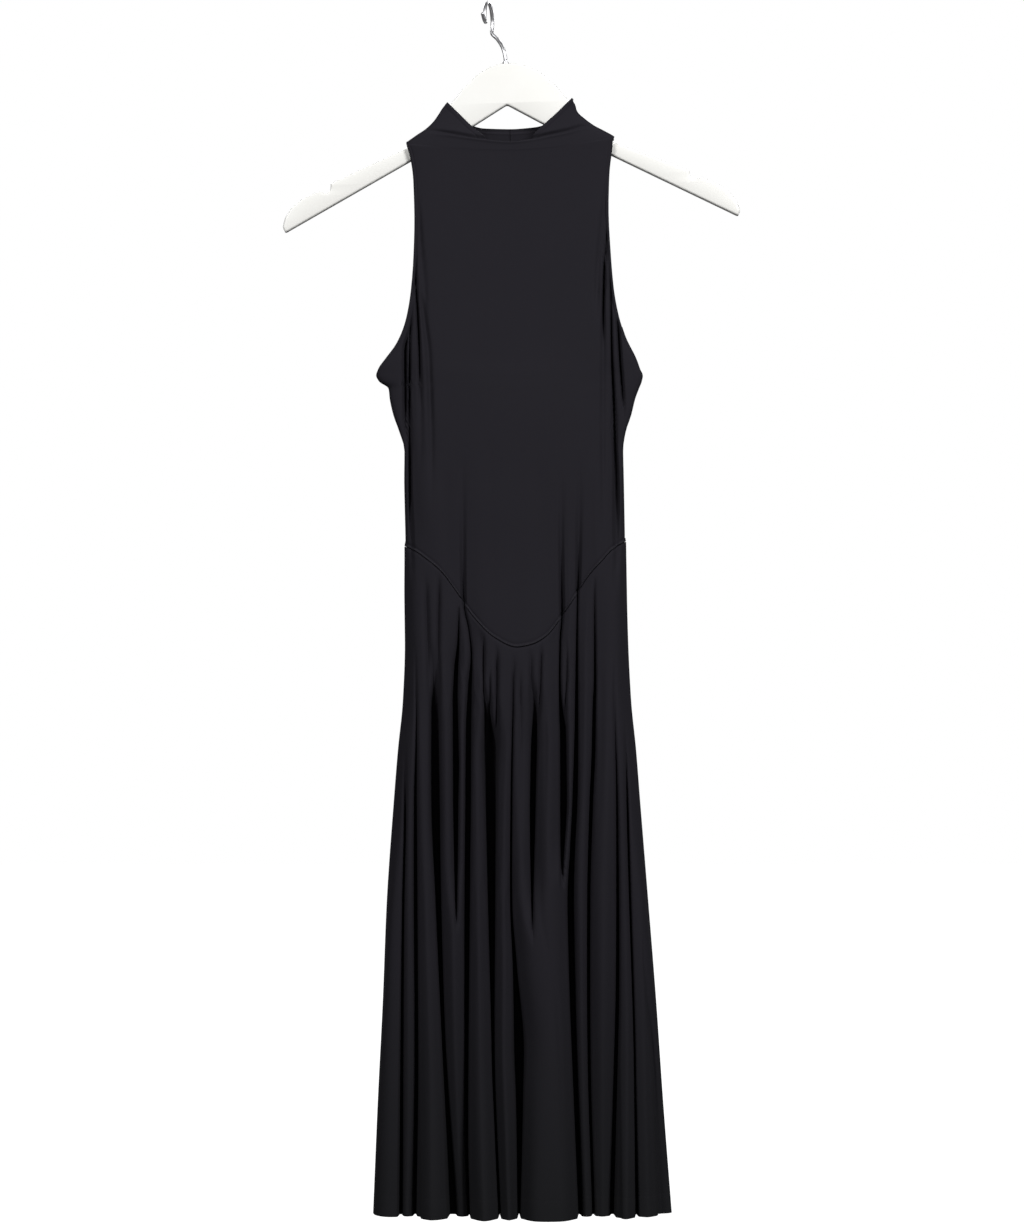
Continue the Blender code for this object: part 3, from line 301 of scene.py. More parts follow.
backSkirt = {
    "flat": (1.05, 0.66),
    "area": 0.4,
    "columns": 440,
    "middleRows": 72,
    "folds": [
        foldShape(
            700, 860, *runsOut, 0.7, 0.9, 0.20,
            ((720, -101.5, 0.9, 1.6), (842, -107.5, 1.4, 1.6), (1130, -119.0, 2.6, 1.6)),
        ),
        foldShape(
            526, 640, *runsOut, 0.8, 1.0, 0.0,
            ((560, -79.0, 1.0, 2.6), (700, -84.0, 2.0, 1.6), (842, -88.0, 3.4, 1.5), (1130, -96.5, 1.8, 1.5)),
        ),
        foldShape(
            590, 760, 940, 1060, 0.9, 0.8, 0.0,
            ((620, -66.5, 1.0, 2.2), (760, -69.0, 2.2, 1.5), (930, -72.0, 1.6, 1.4), (1060, -73.5, 0.9, 1.4)),
        ),
        foldShape(
            545, 680, *runsOut, 1.1, 1.0, 0.35,
            ((580, -50.5, 1.2, 2.6), (700, -54.5, 5.0, 1.7), (842, -57.0, 3.6, 1.5), (1130, -66.0, 2.0, 1.5)),
        ),
        foldShape(
            640, 800, *runsOut, 0.7, 1.0, 0.0,
            ((660, -36.0, 1.0, 1.8), (760, -37.5, 1.4, 1.5), (900, -40.0, 2.6, 1.5), (1130, -45.0, 3.6, 1.5)),
        ),
        foldShape(
            566, 700, *runsOut, 1.0, 1.0, 0.0,
            ((600, -17.5, 1.2, 2.4), (700, -20.0, 2.6, 1.6), (842, -22.5, 4.6, 1.5), (1130, -30.5, 1.6, 1.5)),
        ),
        foldShape(
            620, 740, 850, 960, 0.9, 0.8, 0.0,
            ((650, -6.0, 1.0, 1.8), (740, -6.5, 2.0, 1.4), (850, -8.0, 1.4, 1.4), (960, -9.0, 0.9, 1.4)),
        ),
        foldShape(
            568, 690, *runsOut, 1.1, 1.0, 0.30,
            ((600, 9.5, 1.3, 2.6), (700, 8.5, 4.0, 1.7), (842, 7.0, 2.8, 1.5), (1130, 2.5, 3.8, 1.5)),
        ),
        foldShape(
            600, 780, *runsOut, 0.7, 1.0, 0.0,
            ((640, 27.0, 1.0, 2.0), (760, 28.0, 1.8, 1.5), (900, 27.0, 1.6, 1.5), (1130, 25.5, 2.4, 1.5)),
        ),
        foldShape(
            552, 670, *runsOut, 1.1, 1.0, 0.25,
            ((590, 43.0, 1.4, 2.6), (700, 46.0, 5.6, 1.7), (842, 48.5, 4.4, 1.5), (1130, 54.0, 1.8, 1.5)),
        ),
        foldShape(
            660, 820, *runsOut, 0.8, 1.0, 0.0,
            ((680, 61.5, 0.9, 1.6), (800, 64.0, 1.3, 1.5), (1000, 69.5, 2.8, 1.5), (1130, 72.5, 2.2, 1.5)),
        ),
        foldShape(
            528, 650, *runsOut, 0.9, 1.0, 0.0,
            ((560, 76.0, 1.0, 2.6), (700, 80.5, 1.8, 1.6), (842, 86.0, 1.5, 1.5), (1130, 94.5, 3.4, 1.5)),
        ),
        foldShape(
            740, 880, *runsOut, 0.7, 0.9, 0.25,
            ((760, 99.5, 1.0, 1.6), (900, 106.0, 1.8, 1.6), (1130, 115.5, 2.0, 1.6)),
        ),
    ],
    "creases": [
        (2.4, 3.0, ((545, -60.0), (600, -61.5), (690, -63.0))),
        (2.6, 2.4, ((572, -30.0), (640, -30.5), (720, -32.0))),
        (2.2, 3.0, ((574, -2.0), (620, -2.4), (690, -3.0))),
        (2.8, 2.6, ((572, 19.0), (630, 19.5), (740, 18.5))),
        (2.4, 2.8, ((556, 54.0), (610, 55.0), (700, 56.5))),
        (2.2, 2.4, ((540, 66.5), (590, 67.5), (680, 69.0))),
        (3.2, 1.4, ((700, -46.0), (820, -47.0), (1020, -51.0))),
        (3.0, 1.4, ((740, 35.0), (860, 36.0), (1060, 38.5))),
        (3.4, 1.2, ((820, -1.0), (920, -2.5), (1100, -13.0))),
    ],
}

# Level rows of a bodice above the seam: the drop at each side and how far the middle hangs below them
bodiceLevels = (
    (484.0, 481.0, 75.0), (450.0, 447.0, 48.0), (420.0, 420.0, 31.0), (402.0, 402.0, 22.0),
    (386.0, 386.0, 15.0), (372.0, 371.0, 10.0), (361.0, 361.0, 7.0), (354.5, 354.5, 5.0), (348.7, 348.7, 4.0),
    (343.0, 342.0, 3.0), (333.0, 331.0, 2.0), (318.0, 315.0, 1.0), (298.0, 295.0, 0.0), (270.0, 267.0, 0.0),
    (236.0, 233.0, 0.0), (200.0, 197.0, 0.0), (166.0, 162.0, 2.0), (144.0, 139.0, 6.5), (133.4, 127.8, 9.1),
)
upperLevels = 180.0  # levels above this drop sag like the shoulder rows
shoulderSag = 1.7  # the power by which a shoulder row falls away towards its middle

# Over the shoulders: left end and its drop, right end and its drop, dip in the middle, depth in front and
# behind
shoulderRows = (
    (-97.5, 131.2, 97.8, 125.4, 9.3, 12.8, 11.6),
    (-88.5, 124.2, 89.0, 119.9, 12.5, 12.8, 11.6),
    (-79.0, 117.8, 80.0, 115.2, 14.6, 12.6, 11.4),
)

collar = {
    "half": 58.5,  # half the distance between its peaks
    "square": 8.0,
    # rows from the shoulders to the neck edge: share of the way up, and in on the left and the right
    "rows": ((0.26, 0.34, 0.45), (0.5, 0.56, 0.76), (0.75, 0.76, 0.88), (1.0, 1.0, 1.0)),
    "frontDepth": 7.0,
    "backDepth": 9.4,
    # neck edges: share of the half width, drop
    "front": ((-1.0, 92.6), (-0.8, 104.1), (-0.59, 116.1), (-0.42, 123.8), (-0.3, 128.6), (-0.04, 133.2),
              (0.24, 128.5), (0.5, 115.5), (0.74, 103.2), (1.0, 88.6)),
    "back": ((-1.0, 92.6), (-0.8, 104.5), (-0.6, 112.6), (-0.42, 115.1), (0.0, 115.8), (0.36, 114.3),
             (0.5, 112.8), (0.76, 103.0), (1.0, 88.6)),
    # the cowl fold under the front collar: across, drop
    "crest": ((-76.0, 122.6), (-54.4, 124.9), (-44.1, 126.6), (-24.5, 129.2), (-0.7, 131.1), (14.8, 129.5),
              (34.5, 126.2), (54.3, 122.3), (66.5, 119.0), (78.0, 117.6)),
    "crestRidge": 0.9,
    "crestTuck": 3.2,
    "crestEnds": (54.0, 84.0),  # it fades out between these distances from the centre line
}

edges = {
    "hemBand": 19.0,  # turned hem of the skirt
    "neckBand": 4.6,
    "armBand": 5.0,
    "bandRise": 0.4,
    "hemRelief": 0.15,  # share of a turned edge's relief that the skirt's pressed hem shows
    "groove": 0.5,
    "roll": 0.7,  # how far the very edge turns in
    "seamRidge": 1.0,
    "backSeam": (0.3, 0.25),  # the centre-back seam's groove, and the welt on either side
    "flatAtSides": 0.02,  # share of the half width over which the skirt's edges flatten into the side seam
}

# Rows of the skirt's grid: below the drop-waist seam, above the hem, and even ones between them, which start
# and end at these shares of the way down
skirtRows = {
    "underSeam": (0.0, 0.5, 1.0, 1.6, 2.3, 3.0, 3.8, 5.0, 7.0, 10.0),
    "overHem": (27.0, 23.0, 21.0, 20.3, 19.6, 19.0, 18.4, 17.6, 14.0, 9.0, 5.0, 2.6, 1.6, 1.0, 0.5, 0.0),
    "even": (0.027, 0.945),
    "outline": (125.0, 40.0, 3.6),  # half width, depth and squareness by which the first columns are laid
    "folded": 0.45,  # share of a fold's depth that counts in laying the final ones
    "middle": 800.0,
    "stitched": (2, -11, -13),  # a row of stitches under the seam, and two at the top of the hem
}

# Rows of a bodice's grid above the drop-waist seam
bodiceRows = {
    "overSeam": (0.0, 0.4, 0.8, 1.2, 1.6, 2.1, 2.7, 3.4, 4.4, 6.0, 8.5),
    "firstLevel": 12.0,  # the key row that those lie below
    "seamEnd": (-103.2, -103.0),  # across: where the seam's dip starts, and where front and back compare
    "outline": (104.0, 15.0, 4.6),  # half width, depth and squareness by which the columns are laid
    "wideMiddle": 0.4,
    "stitched": 4,
    "underArms": (265.0, 366.0),  # between these drops the rows lie closer
    "closer": 1.7,
    "shoulders": 31,
    "neck": 29,
}

thread = {"pitch": 2.6, "length": 1.9, "radius": 0.17}


def through(stations, values, at):
    # Monotone cubic through a table's stations, held level past its ends. A value may be a row of numbers. The
    # slope at a station is the harmonic mean of the rises beside it, and nothing where they differ in sign.
    stations = np.asarray(stations, float)
    values = np.asarray(values, float)
    columns = (1,) * (values.ndim - 1)
    steps = np.diff(stations).reshape(-1, *columns)
    rises = np.diff(values, axis=0) / steps
    before, after = rises[:-1], rises[1:]
    sameWay = before * after > 0
    slopes = np.concatenate([rises[:1], np.zeros_like(after), rises[-1:]])
    slopes[1:-1] = np.where(sameWay, 2 * before * after / np.where(sameWay, before + after, 1.0), 0.0)
    at = np.clip(np.asarray(at, float), stations[0], stations[-1])
    k = np.clip(np.searchsorted(stations, at, side="right") - 1, 0, len(steps) - 1)
    t = (at - stations[k]).reshape(at.shape + columns) / steps[k]
    start = (1 + 2 * t) * (1 - t) ** 2 * values[k] + t * (1 - t) ** 2 * steps[k] * slopes[k]
    return start + t**2 * (3 - 2 * t) * values[k + 1] + t**2 * (t - 1) * steps[k] * slopes[k + 1]


def section(name, drop):
    return through(sectionRows[:, 0], sectionRows[:, sectionNames.index(name)], drop)


def yoke(side, across):
    return through(yokeRows[:, 0], yokeRows[:, 1 if side == "front" else 2], across)


def seamSpace(side, across):
    # Distance of a panel's edge from the seam, measured straight down where the seam slopes
    slope = (yoke(side, across + 1) - yoke(side, across - 1)) / 2
    return dress["seam"] * np.sqrt(1 + slope**2)


def eased(t):
    t = np.clip(t, 0.0, 1.0)
    return t * t * (3 - 2 * t)


def hump(distance, width):
    return np.exp(-((distance / width) ** 2))


def channel(fold, drop):
    # A fold at these drops: place across, half width, softness, and how far it is present
    stations, centre, half, soft = np.array(fold.path, float).T
    present = eased((drop - fold.start) / (fold.deep - fold.start))
    present = present**0.6 * eased((fold.end - drop) / (fold.end - fold.leaves))
    centre, half, soft = (through(stations, values, drop) for values in (centre, half, soft))
    return centre, half, soft, present


def relief(side, folds, across, drop):
    # Share of the depth that the folds take: steps back from one to the next, plus the deepest channel at a
    # point, less a parabola between each two folds, which fades as another comes in between them
    channels = [channel(fold, drop) for fold in folds]
    grows = eased((drop - dress["setBackFrom"]) / (dress["hem"] - dress["setBackFrom"]))
    level = np.zeros_like(across)
    behind = 0.0
    for fold, (centre, half, _, _) in zip(folds, channels):
        level = level + (fold.setBack - behind) * grows * eased((across - centre + half / 2) / half)
        behind = fold.setBack
    pressed = np.zeros_like(across)
    for fold, (centre, half, soft, present) in zip(folds, channels):
        down = eased((drop - fold.start) / (dress["hem"] - fold.start))
        share = fold.upper + (fold.lower - fold.upper) * down
        ofHalf, ofSoft = foldProfile["flank"]
        away = np.abs(across - centre)
        inside = eased((half + foldProfile["reach"] * soft - away) / (ofHalf * half + ofSoft * soft))
        ofSoft, wider = foldProfile["bellWider"]
        bell = hump(away, half + ofSoft * soft + wider)
        inside = foldProfile["slot"] * inside + foldProfile["bell"] * bell
        deepest = share * present * section("fold", drop) * dress["foldsDeeper"]
        pressed = np.maximum(pressed, np.maximum(deepest - level, 0) * inside)
    rise = np.zeros_like(across)
    for i in range(len(folds) - 1):
        clear = channels[i][3]
        for j in range(i + 1, len(folds)):
            start = channels[i][0] + channels[i][1] + channels[i][2]
            width = np.maximum(channels[j][0] - channels[j][1] - channels[j][2] - start, 1.0)
            t = np.clip((across - start) / width, 0, 1)
            most = np.minimum(dress["lobeRise"] * width, dress["mostRise"])
            rise = rise + clear * channels[j][3] * most * 4 * t * (1 - t)
            clear = clear * (1 - channels[j][3])
    return level + pressed - rise / section(side, drop)


def creased(creases, across, drop):
    # Millimetres pressed in by soft creases: depth times a bell across each path, in soon and out slowly
    pressed = np.zeros_like(across)
    inShare, inMost = dress["creaseIn"]
    for width, deep, path in creases:
        stations, places = np.array(path, float).T
        length = stations[-1] - stations[0]
        comes = eased((drop - stations[0]) / min(inShare * length, inMost))
        goes = eased((stations[-1] - drop) / (dress["creaseOut"] * length))
        pressed += deep * comes * goes * hump(across - through(stations, places, drop), width)
    return pressed


def lessRim(body, across, drop):
    # Smooth least of the section's depth and a plane that rises from the side edge, by a sum of their powers
    reach = np.where(across < 0, section("left", drop), section("right", drop))
    drops, slopes = np.array(rimRows).T
    plane = dress["rimHalf"] + through(drops, slopes, drop) * np.maximum(reach - np.abs(across), 0)
    power = dress["rimSharp"]
    return (np.maximum(body, 0.01) ** -power + plane**-power) ** (-1 / power)


def lessCreases(look, share, across, drop, depth):
    # No crease reaches the side edges or the middle of the dress
    inland = 1 - np.clip(np.abs(share), 0, 1) ** dress["levelOff"]
    pressed = inland * creased(look["creases"], across, drop)
    return np.maximum(depth - pressed, np.minimum(depth, dress["leastDepth"]))


def rounded(share, square):
    # Superellipse: nothing at the sides, one in the middle
    return (1 - np.clip(np.abs(share), 0, 1) ** square) ** (1 / square)


def depthAt(side, look, across, drop):
    # Rounded section less its folds and creases
    share = np.where(across < 0, across / section("left", drop), across / section("right", drop))
    gap = section("gap", drop)
    body = lessRim((section(side, drop) - gap) * rounded(share, section("square", drop)), across, drop)
    depth = gap + body * (1 - relief(side, look["folds"], across, drop))
    return lessCreases(look, share, across, drop, depth)


def hung(across, drop, depth):
    # Metres in the frame, where depth is towards the front
    return np.stack([dress["hangLine"] + dress["lean"] * drop + across, -depth, -drop], axis=-1) * mm


def laid(shares, dropOf, start):
    # Each point's place across is its share of the dress's reach at its drop, and its drop depends on that
    # place, so both are worked out in turns
    drop = np.full(shares.shape, start)
    for _ in range(8):
        across = shares * np.where(shares < 0, section("left", drop), section("right", drop))
        drop = dropOf(across)
    return across, drop


def evenShares(count, reach, depth, square, low=-1.0, high=1.0, middle=1.0):
    # Shares that cut a superellipse's outline into equal lengths, wider by 1 / middle round its middle
    fine = np.linspace(-1, 1, 6001)
    fine = np.sign(fine) * (1 - (1 - np.abs(fine)) ** 2.5)  # closer at the sides
    fine = fine[(fine >= low) & (fine <= high)]
    steps = np.hypot(np.diff(fine) * reach, np.diff(rounded(fine, square)) * depth)
    steps = steps * np.interp(np.abs(fine[1:]), [0.28, 0.42], [middle, 1.0])
    length = np.concatenate([[0], np.cumsum(steps)])
    return np.interp(np.linspace(0, length[-1], count + 1), length, fine)


def lengthsAlong(points, axis):
    # Distance along a grid from its first row or column
    steps = np.linalg.norm(np.diff(points, axis=axis), axis=-1)
    start = np.zeros_like(np.take(steps, [0], axis=axis))
    return np.concatenate([start, np.cumsum(steps, axis=axis)], axis=axis)


def gridNormals(points, side):
    # Cross product of the two grid directions
    normals = np.cross(np.gradient(points, axis=1), np.gradient(points, axis=0))
    length = np.maximum(np.linalg.norm(normals, axis=-1, keepdims=True), 1e-12)
    return normals / length * (1 if side == "front" else -1)


def turnedEdge(distance, band):
    # Profile of a turned hem: the edge rolls in, the band stands proud, and its stitching pulls a groove
    rise = edges["bandRise"] * eased((band + 0.6 - distance) / 1.2)
    rise = rise - edges["groove"] * hump(distance - band, 0.7)
    return rise - edges["roll"] * np.clip(1 - distance / 1.4, 0, 1) ** 2


def seamRidge(distance, above):
    # Profile of the drop-waist seam: a cord along the edge of the cloth above it, and a groove on either side
    if above:
        return edges["seamRidge"] * hump(distance - 0.9, 0.9) - 0.5 * hump(distance - 3.0, 0.9)
    return -0.2 * hump(distance, 0.8) - 0.25 * hump(distance - 1.0, 0.9)


def quadsOf(rows, columns, closed=False):
    # Quads between neighbouring rows and columns of points, if closed also from the last column to the first
    index = np.arange(rows * columns).reshape(rows, columns)
    if closed:
        index = np.concatenate([index, index[:, :1]], axis=1)
    corners = [index[:-1, :-1], index[:-1, 1:], index[1:, 1:], index[1:, :-1]]
    return np.stack(corners, axis=-1).reshape(-1, 4)


def gridObject(name, points, flip, uv=None, finish=None):
    quads = quadsOf(*points.shape[:2])
    return meshObject(name, points.reshape(-1, 3), quads[:, ::-1] if flip else quads, uv, finish)


def meshObject(name, points, faces, uv=None, finish=None):
    mesh = bpy.data.meshes.new(name)
    faceList = faces.tolist() if isinstance(faces, np.ndarray) else faces
    mesh.from_pydata(points.tolist(), [], faceList)
    if uv is not None:
        layer = mesh.uv_layers.new(name="cloth")
        corners = np.empty(len(mesh.loops), int)
        mesh.loops.foreach_get("vertex_index", corners)
        layer.data.foreach_set("uv", uv.reshape(-1, 2)[corners].ravel())
    mesh.shade_smooth()
    made = bpy.data.objects.new(name, mesh)
    bpy.context.scene.collection.objects.link(made)
    if finish is not None:
        mesh.materials.append(finish)
    return made


def clothPiece(node, points, side, finish, look):
    # An open sheet, thickened inwards to the jersey's wall, with its own map in metres: along rows, and up
    middle = points.shape[1] // 2
    along = lengthsAlong(points, 1)
    uv = np.stack([along - along[:, middle:middle + 1], points[..., 2]], axis=-1)
    made = gridObject(node + "_cloth", points, side == "back", uv, finish)
    wall = made.modifiers.new("wall", "SOLIDIFY")
    wall.thickness = dress["wall"] * mm
    wall.offset = -1.0
    wall.use_quality_normals = True
    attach(made, "root")
    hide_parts(node)


def panelEdge(side, across):
    # Drop of a skirt's upper edge, half the seam's space below the seam
    return yoke(side, across) + seamSpace(side, across)


def skirtSheet(side, look):
    # A few close rows under the seam, then even shares of the way down, then close ones along the hem. The
    # columns are laid evenly along each row as it runs in and out of the folds.
    underSeam, overHem = np.array(skirtRows["underSeam"]), np.array(skirtRows["overHem"])
    even = np.linspace(*skirtRows["even"], look["middleRows"])
    down = np.concatenate([np.zeros(len(underSeam)), even, np.ones(len(overHem))])
    offset = np.concatenate([underSeam, np.zeros(len(even)), -overHem])

    def dropOf(across):
        edge = panelEdge(side, across)
        return edge + down[:, None] * (dress["hem"] - edge) + offset[:, None]

    fine = np.broadcast_to(evenShares(1500, *skirtRows["outline"]), (len(down), 1501))
    across, drop = laid(fine, dropOf, skirtRows["middle"])
    depth = depthAt(side, look, across, drop)
    steps = np.hypot(np.diff(across, axis=1), skirtRows["folded"] * np.diff(depth, axis=1))
    length = np.concatenate([np.zeros((len(down), 1)), np.cumsum(steps, axis=1)], axis=1)
    columns = np.linspace(0, 1, look["columns"] + 1)
    shares = np.stack([np.interp(columns * run[-1], run, row) for run, row in zip(length, fine)])
    across, drop = laid(shares, dropOf, skirtRows["middle"])
    points = hung(across, drop, depthAt(side, look, across, drop) * (1 if side == "front" else -1))
    normals = gridNormals(points[::-1], side)[::-1]
    hemmed = edges["hemRelief"] * turnedEdge(dress["hem"] - drop, edges["hemBand"])
    raised = hemmed + seamRidge(drop - panelEdge(side, across), False)
    raised = raised * eased((1 - np.abs(shares)) / edges["flatAtSides"])
    return points + normals * raised[..., None] * mm, normals


def seamKeys(side, shares):
    # A bodice's two lowest key rows, at the seam and a little above it: across, drop
    for above, start in ((0.0, 560.0), (bodiceRows["firstLevel"], 550.0)):
        yield laid(shares, lambda across: yoke(side, across) - seamSpace(side, across) - above, start)


def levelKeys(side, shares):
    # Key rows that hang level at the sides and dip in the middle, like the seam at first and like the
    # shoulders higher up: across, drop
    seamEnd, inland = bodiceRows["seamEnd"]
    frontDip = yoke("front", 0.0) - yoke("front", seamEnd)
    hang = (yoke(side, 0.0) - yoke(side, inland)) / (yoke("front", 0.0) - yoke("front", inland))
    for leftDrop, rightDrop, dip in bodiceLevels:
        left, right = section("left", leftDrop), section("right", rightDrop)

        def dropOf(across):
            level = leftDrop + (rightDrop - leftDrop) * np.clip((across + left) / (left + right), 0, 1)
            if leftDrop < upperLevels:
                share = np.clip(np.abs(np.where(across < 0, across / left, across / right)), 0, 1)
                return level + dip * (1 - share**shoulderSag)
            bend = (yoke("front", across) - yoke("front", seamEnd)) / frontDip
            return level + dip * hang * np.clip(bend, 0, 1)

        yield laid(shares, dropOf, leftDrop)


def shoulderKeys(side, shares):
    # Key rows over the shoulders: across, drop, depth
    for leftEnd, leftDrop, rightEnd, rightDrop, dip, frontDepth, backDepth in shoulderRows:
        across = np.where(shares < 0, -shares * leftEnd, shares * rightEnd)
        level = np.where(across < 0, leftDrop, rightDrop)
        middle = (leftDrop + rightDrop) / 2 + dip
        drop = level + (middle - level) * (1 - np.abs(shares) ** shoulderSag)
        yield across, drop, (frontDepth if side == "front" else backDepth) * rounded(shares, 5.0)


def collarKeys(side, shares, crest):
    # Key rows from the last shoulder row up to the neck edge, where they are tucked in under the cowl
    crestAcross, crestDrop, crestDepth = crest
    edgeDrop = through(*np.array(collar[side]).T, shares)
    edgeDepth = collar[side + "Depth"] * rounded(shares, collar["square"])
    tucked = np.clip((edgeDrop - crestDrop) / 6, 0, 1)
    for up, leftIn, rightIn in collar["rows"]:
        inward = np.where(crestAcross < 0, leftIn, rightIn)
        across = crestAcross + (shares * collar["half"] - crestAcross) * inward
        drop = crestDrop + (edgeDrop - crestDrop) * (up + tucked * (up**2 - up))
        yield across, drop, crestDepth + (edgeDepth - crestDepth) * (1 - (1 - up) ** 1.3)


def bodiceSheet(side, look, low=-1.0, high=1.0):
    # Key rows from the seam over the shoulders to the neck edge, joined by smooth curves up each column
    shares = evenShares(look["columns"], *bodiceRows["outline"], low, high, bodiceRows["wideMiddle"])
    lower = [*seamKeys(side, shares), *levelKeys(side, shares)]
    upper = list(shoulderKeys(side, shares))
    upper += collarKeys(side, shares, upper[-1])
    keyAcross, keyDrop = (np.stack([key[part] for key in lower + upper]) for part in (0, 1))
    drop = keyDrop[:len(lower)]
    gap = section("gap", drop)
    body = (section(side, drop) - gap) * rounded(shares, section("square", drop))
    keyDepth = np.concatenate([gap + body, np.stack([key[2] for key in upper])])
    keys = np.arange(len(keyDrop))
    rowAt = bodiceRowPlaces(len(keyDrop), len(lower))
    across, drop, depth = (through(keys, table, rowAt) for table in (keyAcross, keyDrop, keyDepth))
    gap = section("gap", drop)
    body = lessRim(depth - gap, across, drop)
    depth = gap + body * (1 - relief(side, look["folds"], across, drop) * (drop > 200))
    depth = lessCreases(look, shares, across, drop, depth)
    return hung(across, drop, depth * (1 if side == "front" else -1)), across, drop


def bodiceRowPlaces(keyCount, below):
    # Fractions of key rows: close together at the seam, under the arms and over the shoulders and collar
    seam = np.array(bodiceRows["overSeam"]) / bodiceRows["firstLevel"]
    drops = np.array(bodiceLevels)[:, 0]
    upper, lower = bodiceRows["underArms"]
    close = (drops[1:] > upper) & (drops[1:] < lower)
    counts = np.where(close, np.ceil(-np.diff(drops) / bodiceRows["closer"]), 3).astype(int)
    chest = np.concatenate([k + 2 + np.arange(counts[k]) / counts[k] for k in range(below - 5)])
    shoulders = np.linspace(below - 3, below + 2, bodiceRows["shoulders"])
    neck = np.linspace(below + 2, keyCount - 1, bodiceRows["neck"])[1:]
    return np.concatenate([seam, [1.0, 1.35, 1.7], chest, shoulders, neck])


def finishedBodice(side, look, low=-1.0, high=1.0):
    # The sheet with its welt at the seam, its turned edges, the centre-back seam behind and the cowl in front
    points, across, drop = bodiceSheet(side, look, low, high)
    normals = gridNormals(points, side)
    fromSeam = yoke(side, across) - seamSpace(side, across) - drop
    up = lengthsAlong(points, 0) / mm
    along = lengthsAlong(points, 1) / mm
    fromNeck = up[-1] - up
    raised = seamRidge(fromSeam, True) + turnedEdge(fromNeck, edges["neckBand"])
    openSide = eased((section("gap", drop) - 1.0) / 3.0) * (drop > 134) * (fromNeck > 30)
    if low == -1.0:
        raised = raised + openSide * turnedEdge(along, edges["armBand"])
    if high == 1.0:
        raised = raised + openSide * turnedEdge(along[:, -1:] - along, edges["armBand"])
    if side == "back":
        groove, welt = edges["backSeam"]
        raised = raised - groove * hump(across, 0.7) + welt * hump(np.abs(across) - 1.9, 1.0)
    if side == "front":
        above = through(*np.array(collar["crest"]).T, across) - drop
        cowl = collar["crestRidge"] * hump(above, 1.3) - collar["crestTuck"] * hump(above - 3.0, 1.5)
        inner, outer = collar["crestEnds"]
        raised = raised + cowl * eased((outer - np.abs(across)) / (outer - inner))
    return points + normals * raised[..., None] * mm, normals


def stitchLine(path, normals):
    # Even places along a path, with the way it runs and the way it faces there
    distance = lengthsAlong(path, 0)
    count = int(distance[-1] / (thread["pitch"] * mm))
    places = (np.arange(count) + 0.5) * thread["pitch"] * mm

    def sampled(table, at):
        return np.stack([np.interp(at, distance, column) for column in table.T], axis=1)

    centres = sampled(path, places)
    way = sampled(path, places + 0.0005) - centres
    facing = sampled(normals, places)
    way /= np.maximum(np.linalg.norm(way, axis=1, keepdims=True), 1e-9)
    facing -= way * (facing * way).sum(axis=1, keepdims=True)
    facing /= np.maximum(np.linalg.norm(facing, axis=1, keepdims=True), 1e-9)
    return centres, way, facing


def stitchPiece(name, lines, finish):
    # Each stitch is a spindle of four rings of five points, laid along its line and half sunk in the cloth
    centres, way, facing = (np.concatenate(part) for part in zip(*[stitchLine(*line) for line in lines]))
    aside = np.cross(way, facing)
    along = np.array([-0.5, -0.3, 0.3, 0.5]) * thread["length"] * mm
    thick = np.array([0.35, 1.0, 1.0, 0.35]) * thread["radius"] * mm
    turn = np.arange(5) * 2 * math.pi / 5
    rings = centres[:, None, None] + way[:, None, None] * along[None, :, None, None]
    rings = rings + facing[:, None, None] * (thick[:, None] * np.cos(turn))[None, ..., None]
    rings = rings + aside[:, None, None] * (thick[:, None] * np.sin(turn))[None, ..., None]
    offsets = 20 * np.arange(len(centres))[:, None]
    sides = (quadsOf(4, 5, True) + offsets[:, None]).reshape(-1, 4).tolist()
    ends = (np.arange(4, -1, -1) + offsets).tolist() + (np.arange(15, 20) + offsets).tolist()
    made = meshObject(name, rings.reshape(-1, 3), sides + ends, None, finish)
    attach(made, "root")
    return made


def nodeMath(tree, operation, *values):
    made = tree.nodes.new("ShaderNodeMath")
    made.operation = operation
    for socket, value in zip(made.inputs, values):
        if isinstance(value, (int, float)):
            socket.default_value = value
        else:
            tree.links.new(value, socket)
    return made.outputs[0]


def newMaterial(name, colour, roughness, metallic=0.0, **constants):
    made = bpy.data.materials.new(name)
    made.use_nodes = True
    shader = made.node_tree.nodes["Principled BSDF"]
    shader.inputs["Base Color"].default_value = (*colour, 1.0)
    shader.inputs["Roughness"].default_value = roughness
    shader.inputs["Metallic"].default_value = metallic
    for socket, value in constants.items():
        shader.inputs[socket.replace("_", " ")].default_value = value
    return made, made.node_tree, shader


def noiseOn(tree, scale, detail=2.0):
    made = tree.nodes.new("ShaderNodeTexNoise")
    made.inputs["Scale"].default_value = scale
    made.inputs["Detail"].default_value = detail
    tree.links.new(tree.nodes.new("ShaderNodeTexCoord").outputs["Object"], made.inputs["Vector"])
    return made.outputs["Fac"]


def unevenRoughness(tree, shader, scale, spread, least, detail=2.0):
    rough = nodeMath(tree, "MULTIPLY_ADD", noiseOn(tree, scale, detail), spread, least)
    tree.links.new(rough, shader.inputs["Roughness"])


def bumped(tree, shader, height, strength, distance):
    bump = tree.nodes.new("ShaderNodeBump")
    bump.inputs["Strength"].default_value = strength
    bump.inputs["Distance"].default_value = distance
    tree.links.new(height, bump.inputs["Height"])
    tree.links.new(bump.outputs["Normal"], shader.inputs["Normal"])


jerseyLook = {
    # Painted shade: below the drop given under these colours, the cloth darkens from the top colour to the hem
    # colour, for the light that falls off towards the hem
    "top": (0.0172, 0.0161, 0.0206),
    "hem": (0.0134, 0.0136, 0.0152),
    "paintedShadeBelow": 890.0,
    "drift": 0.3,  # how much the colour wanders between the two
    "roughness": 0.85,
    "wale": 0.55,  # width of a column of stitches
    "course": 0.45,
    "knitDepth": 0.05,
}


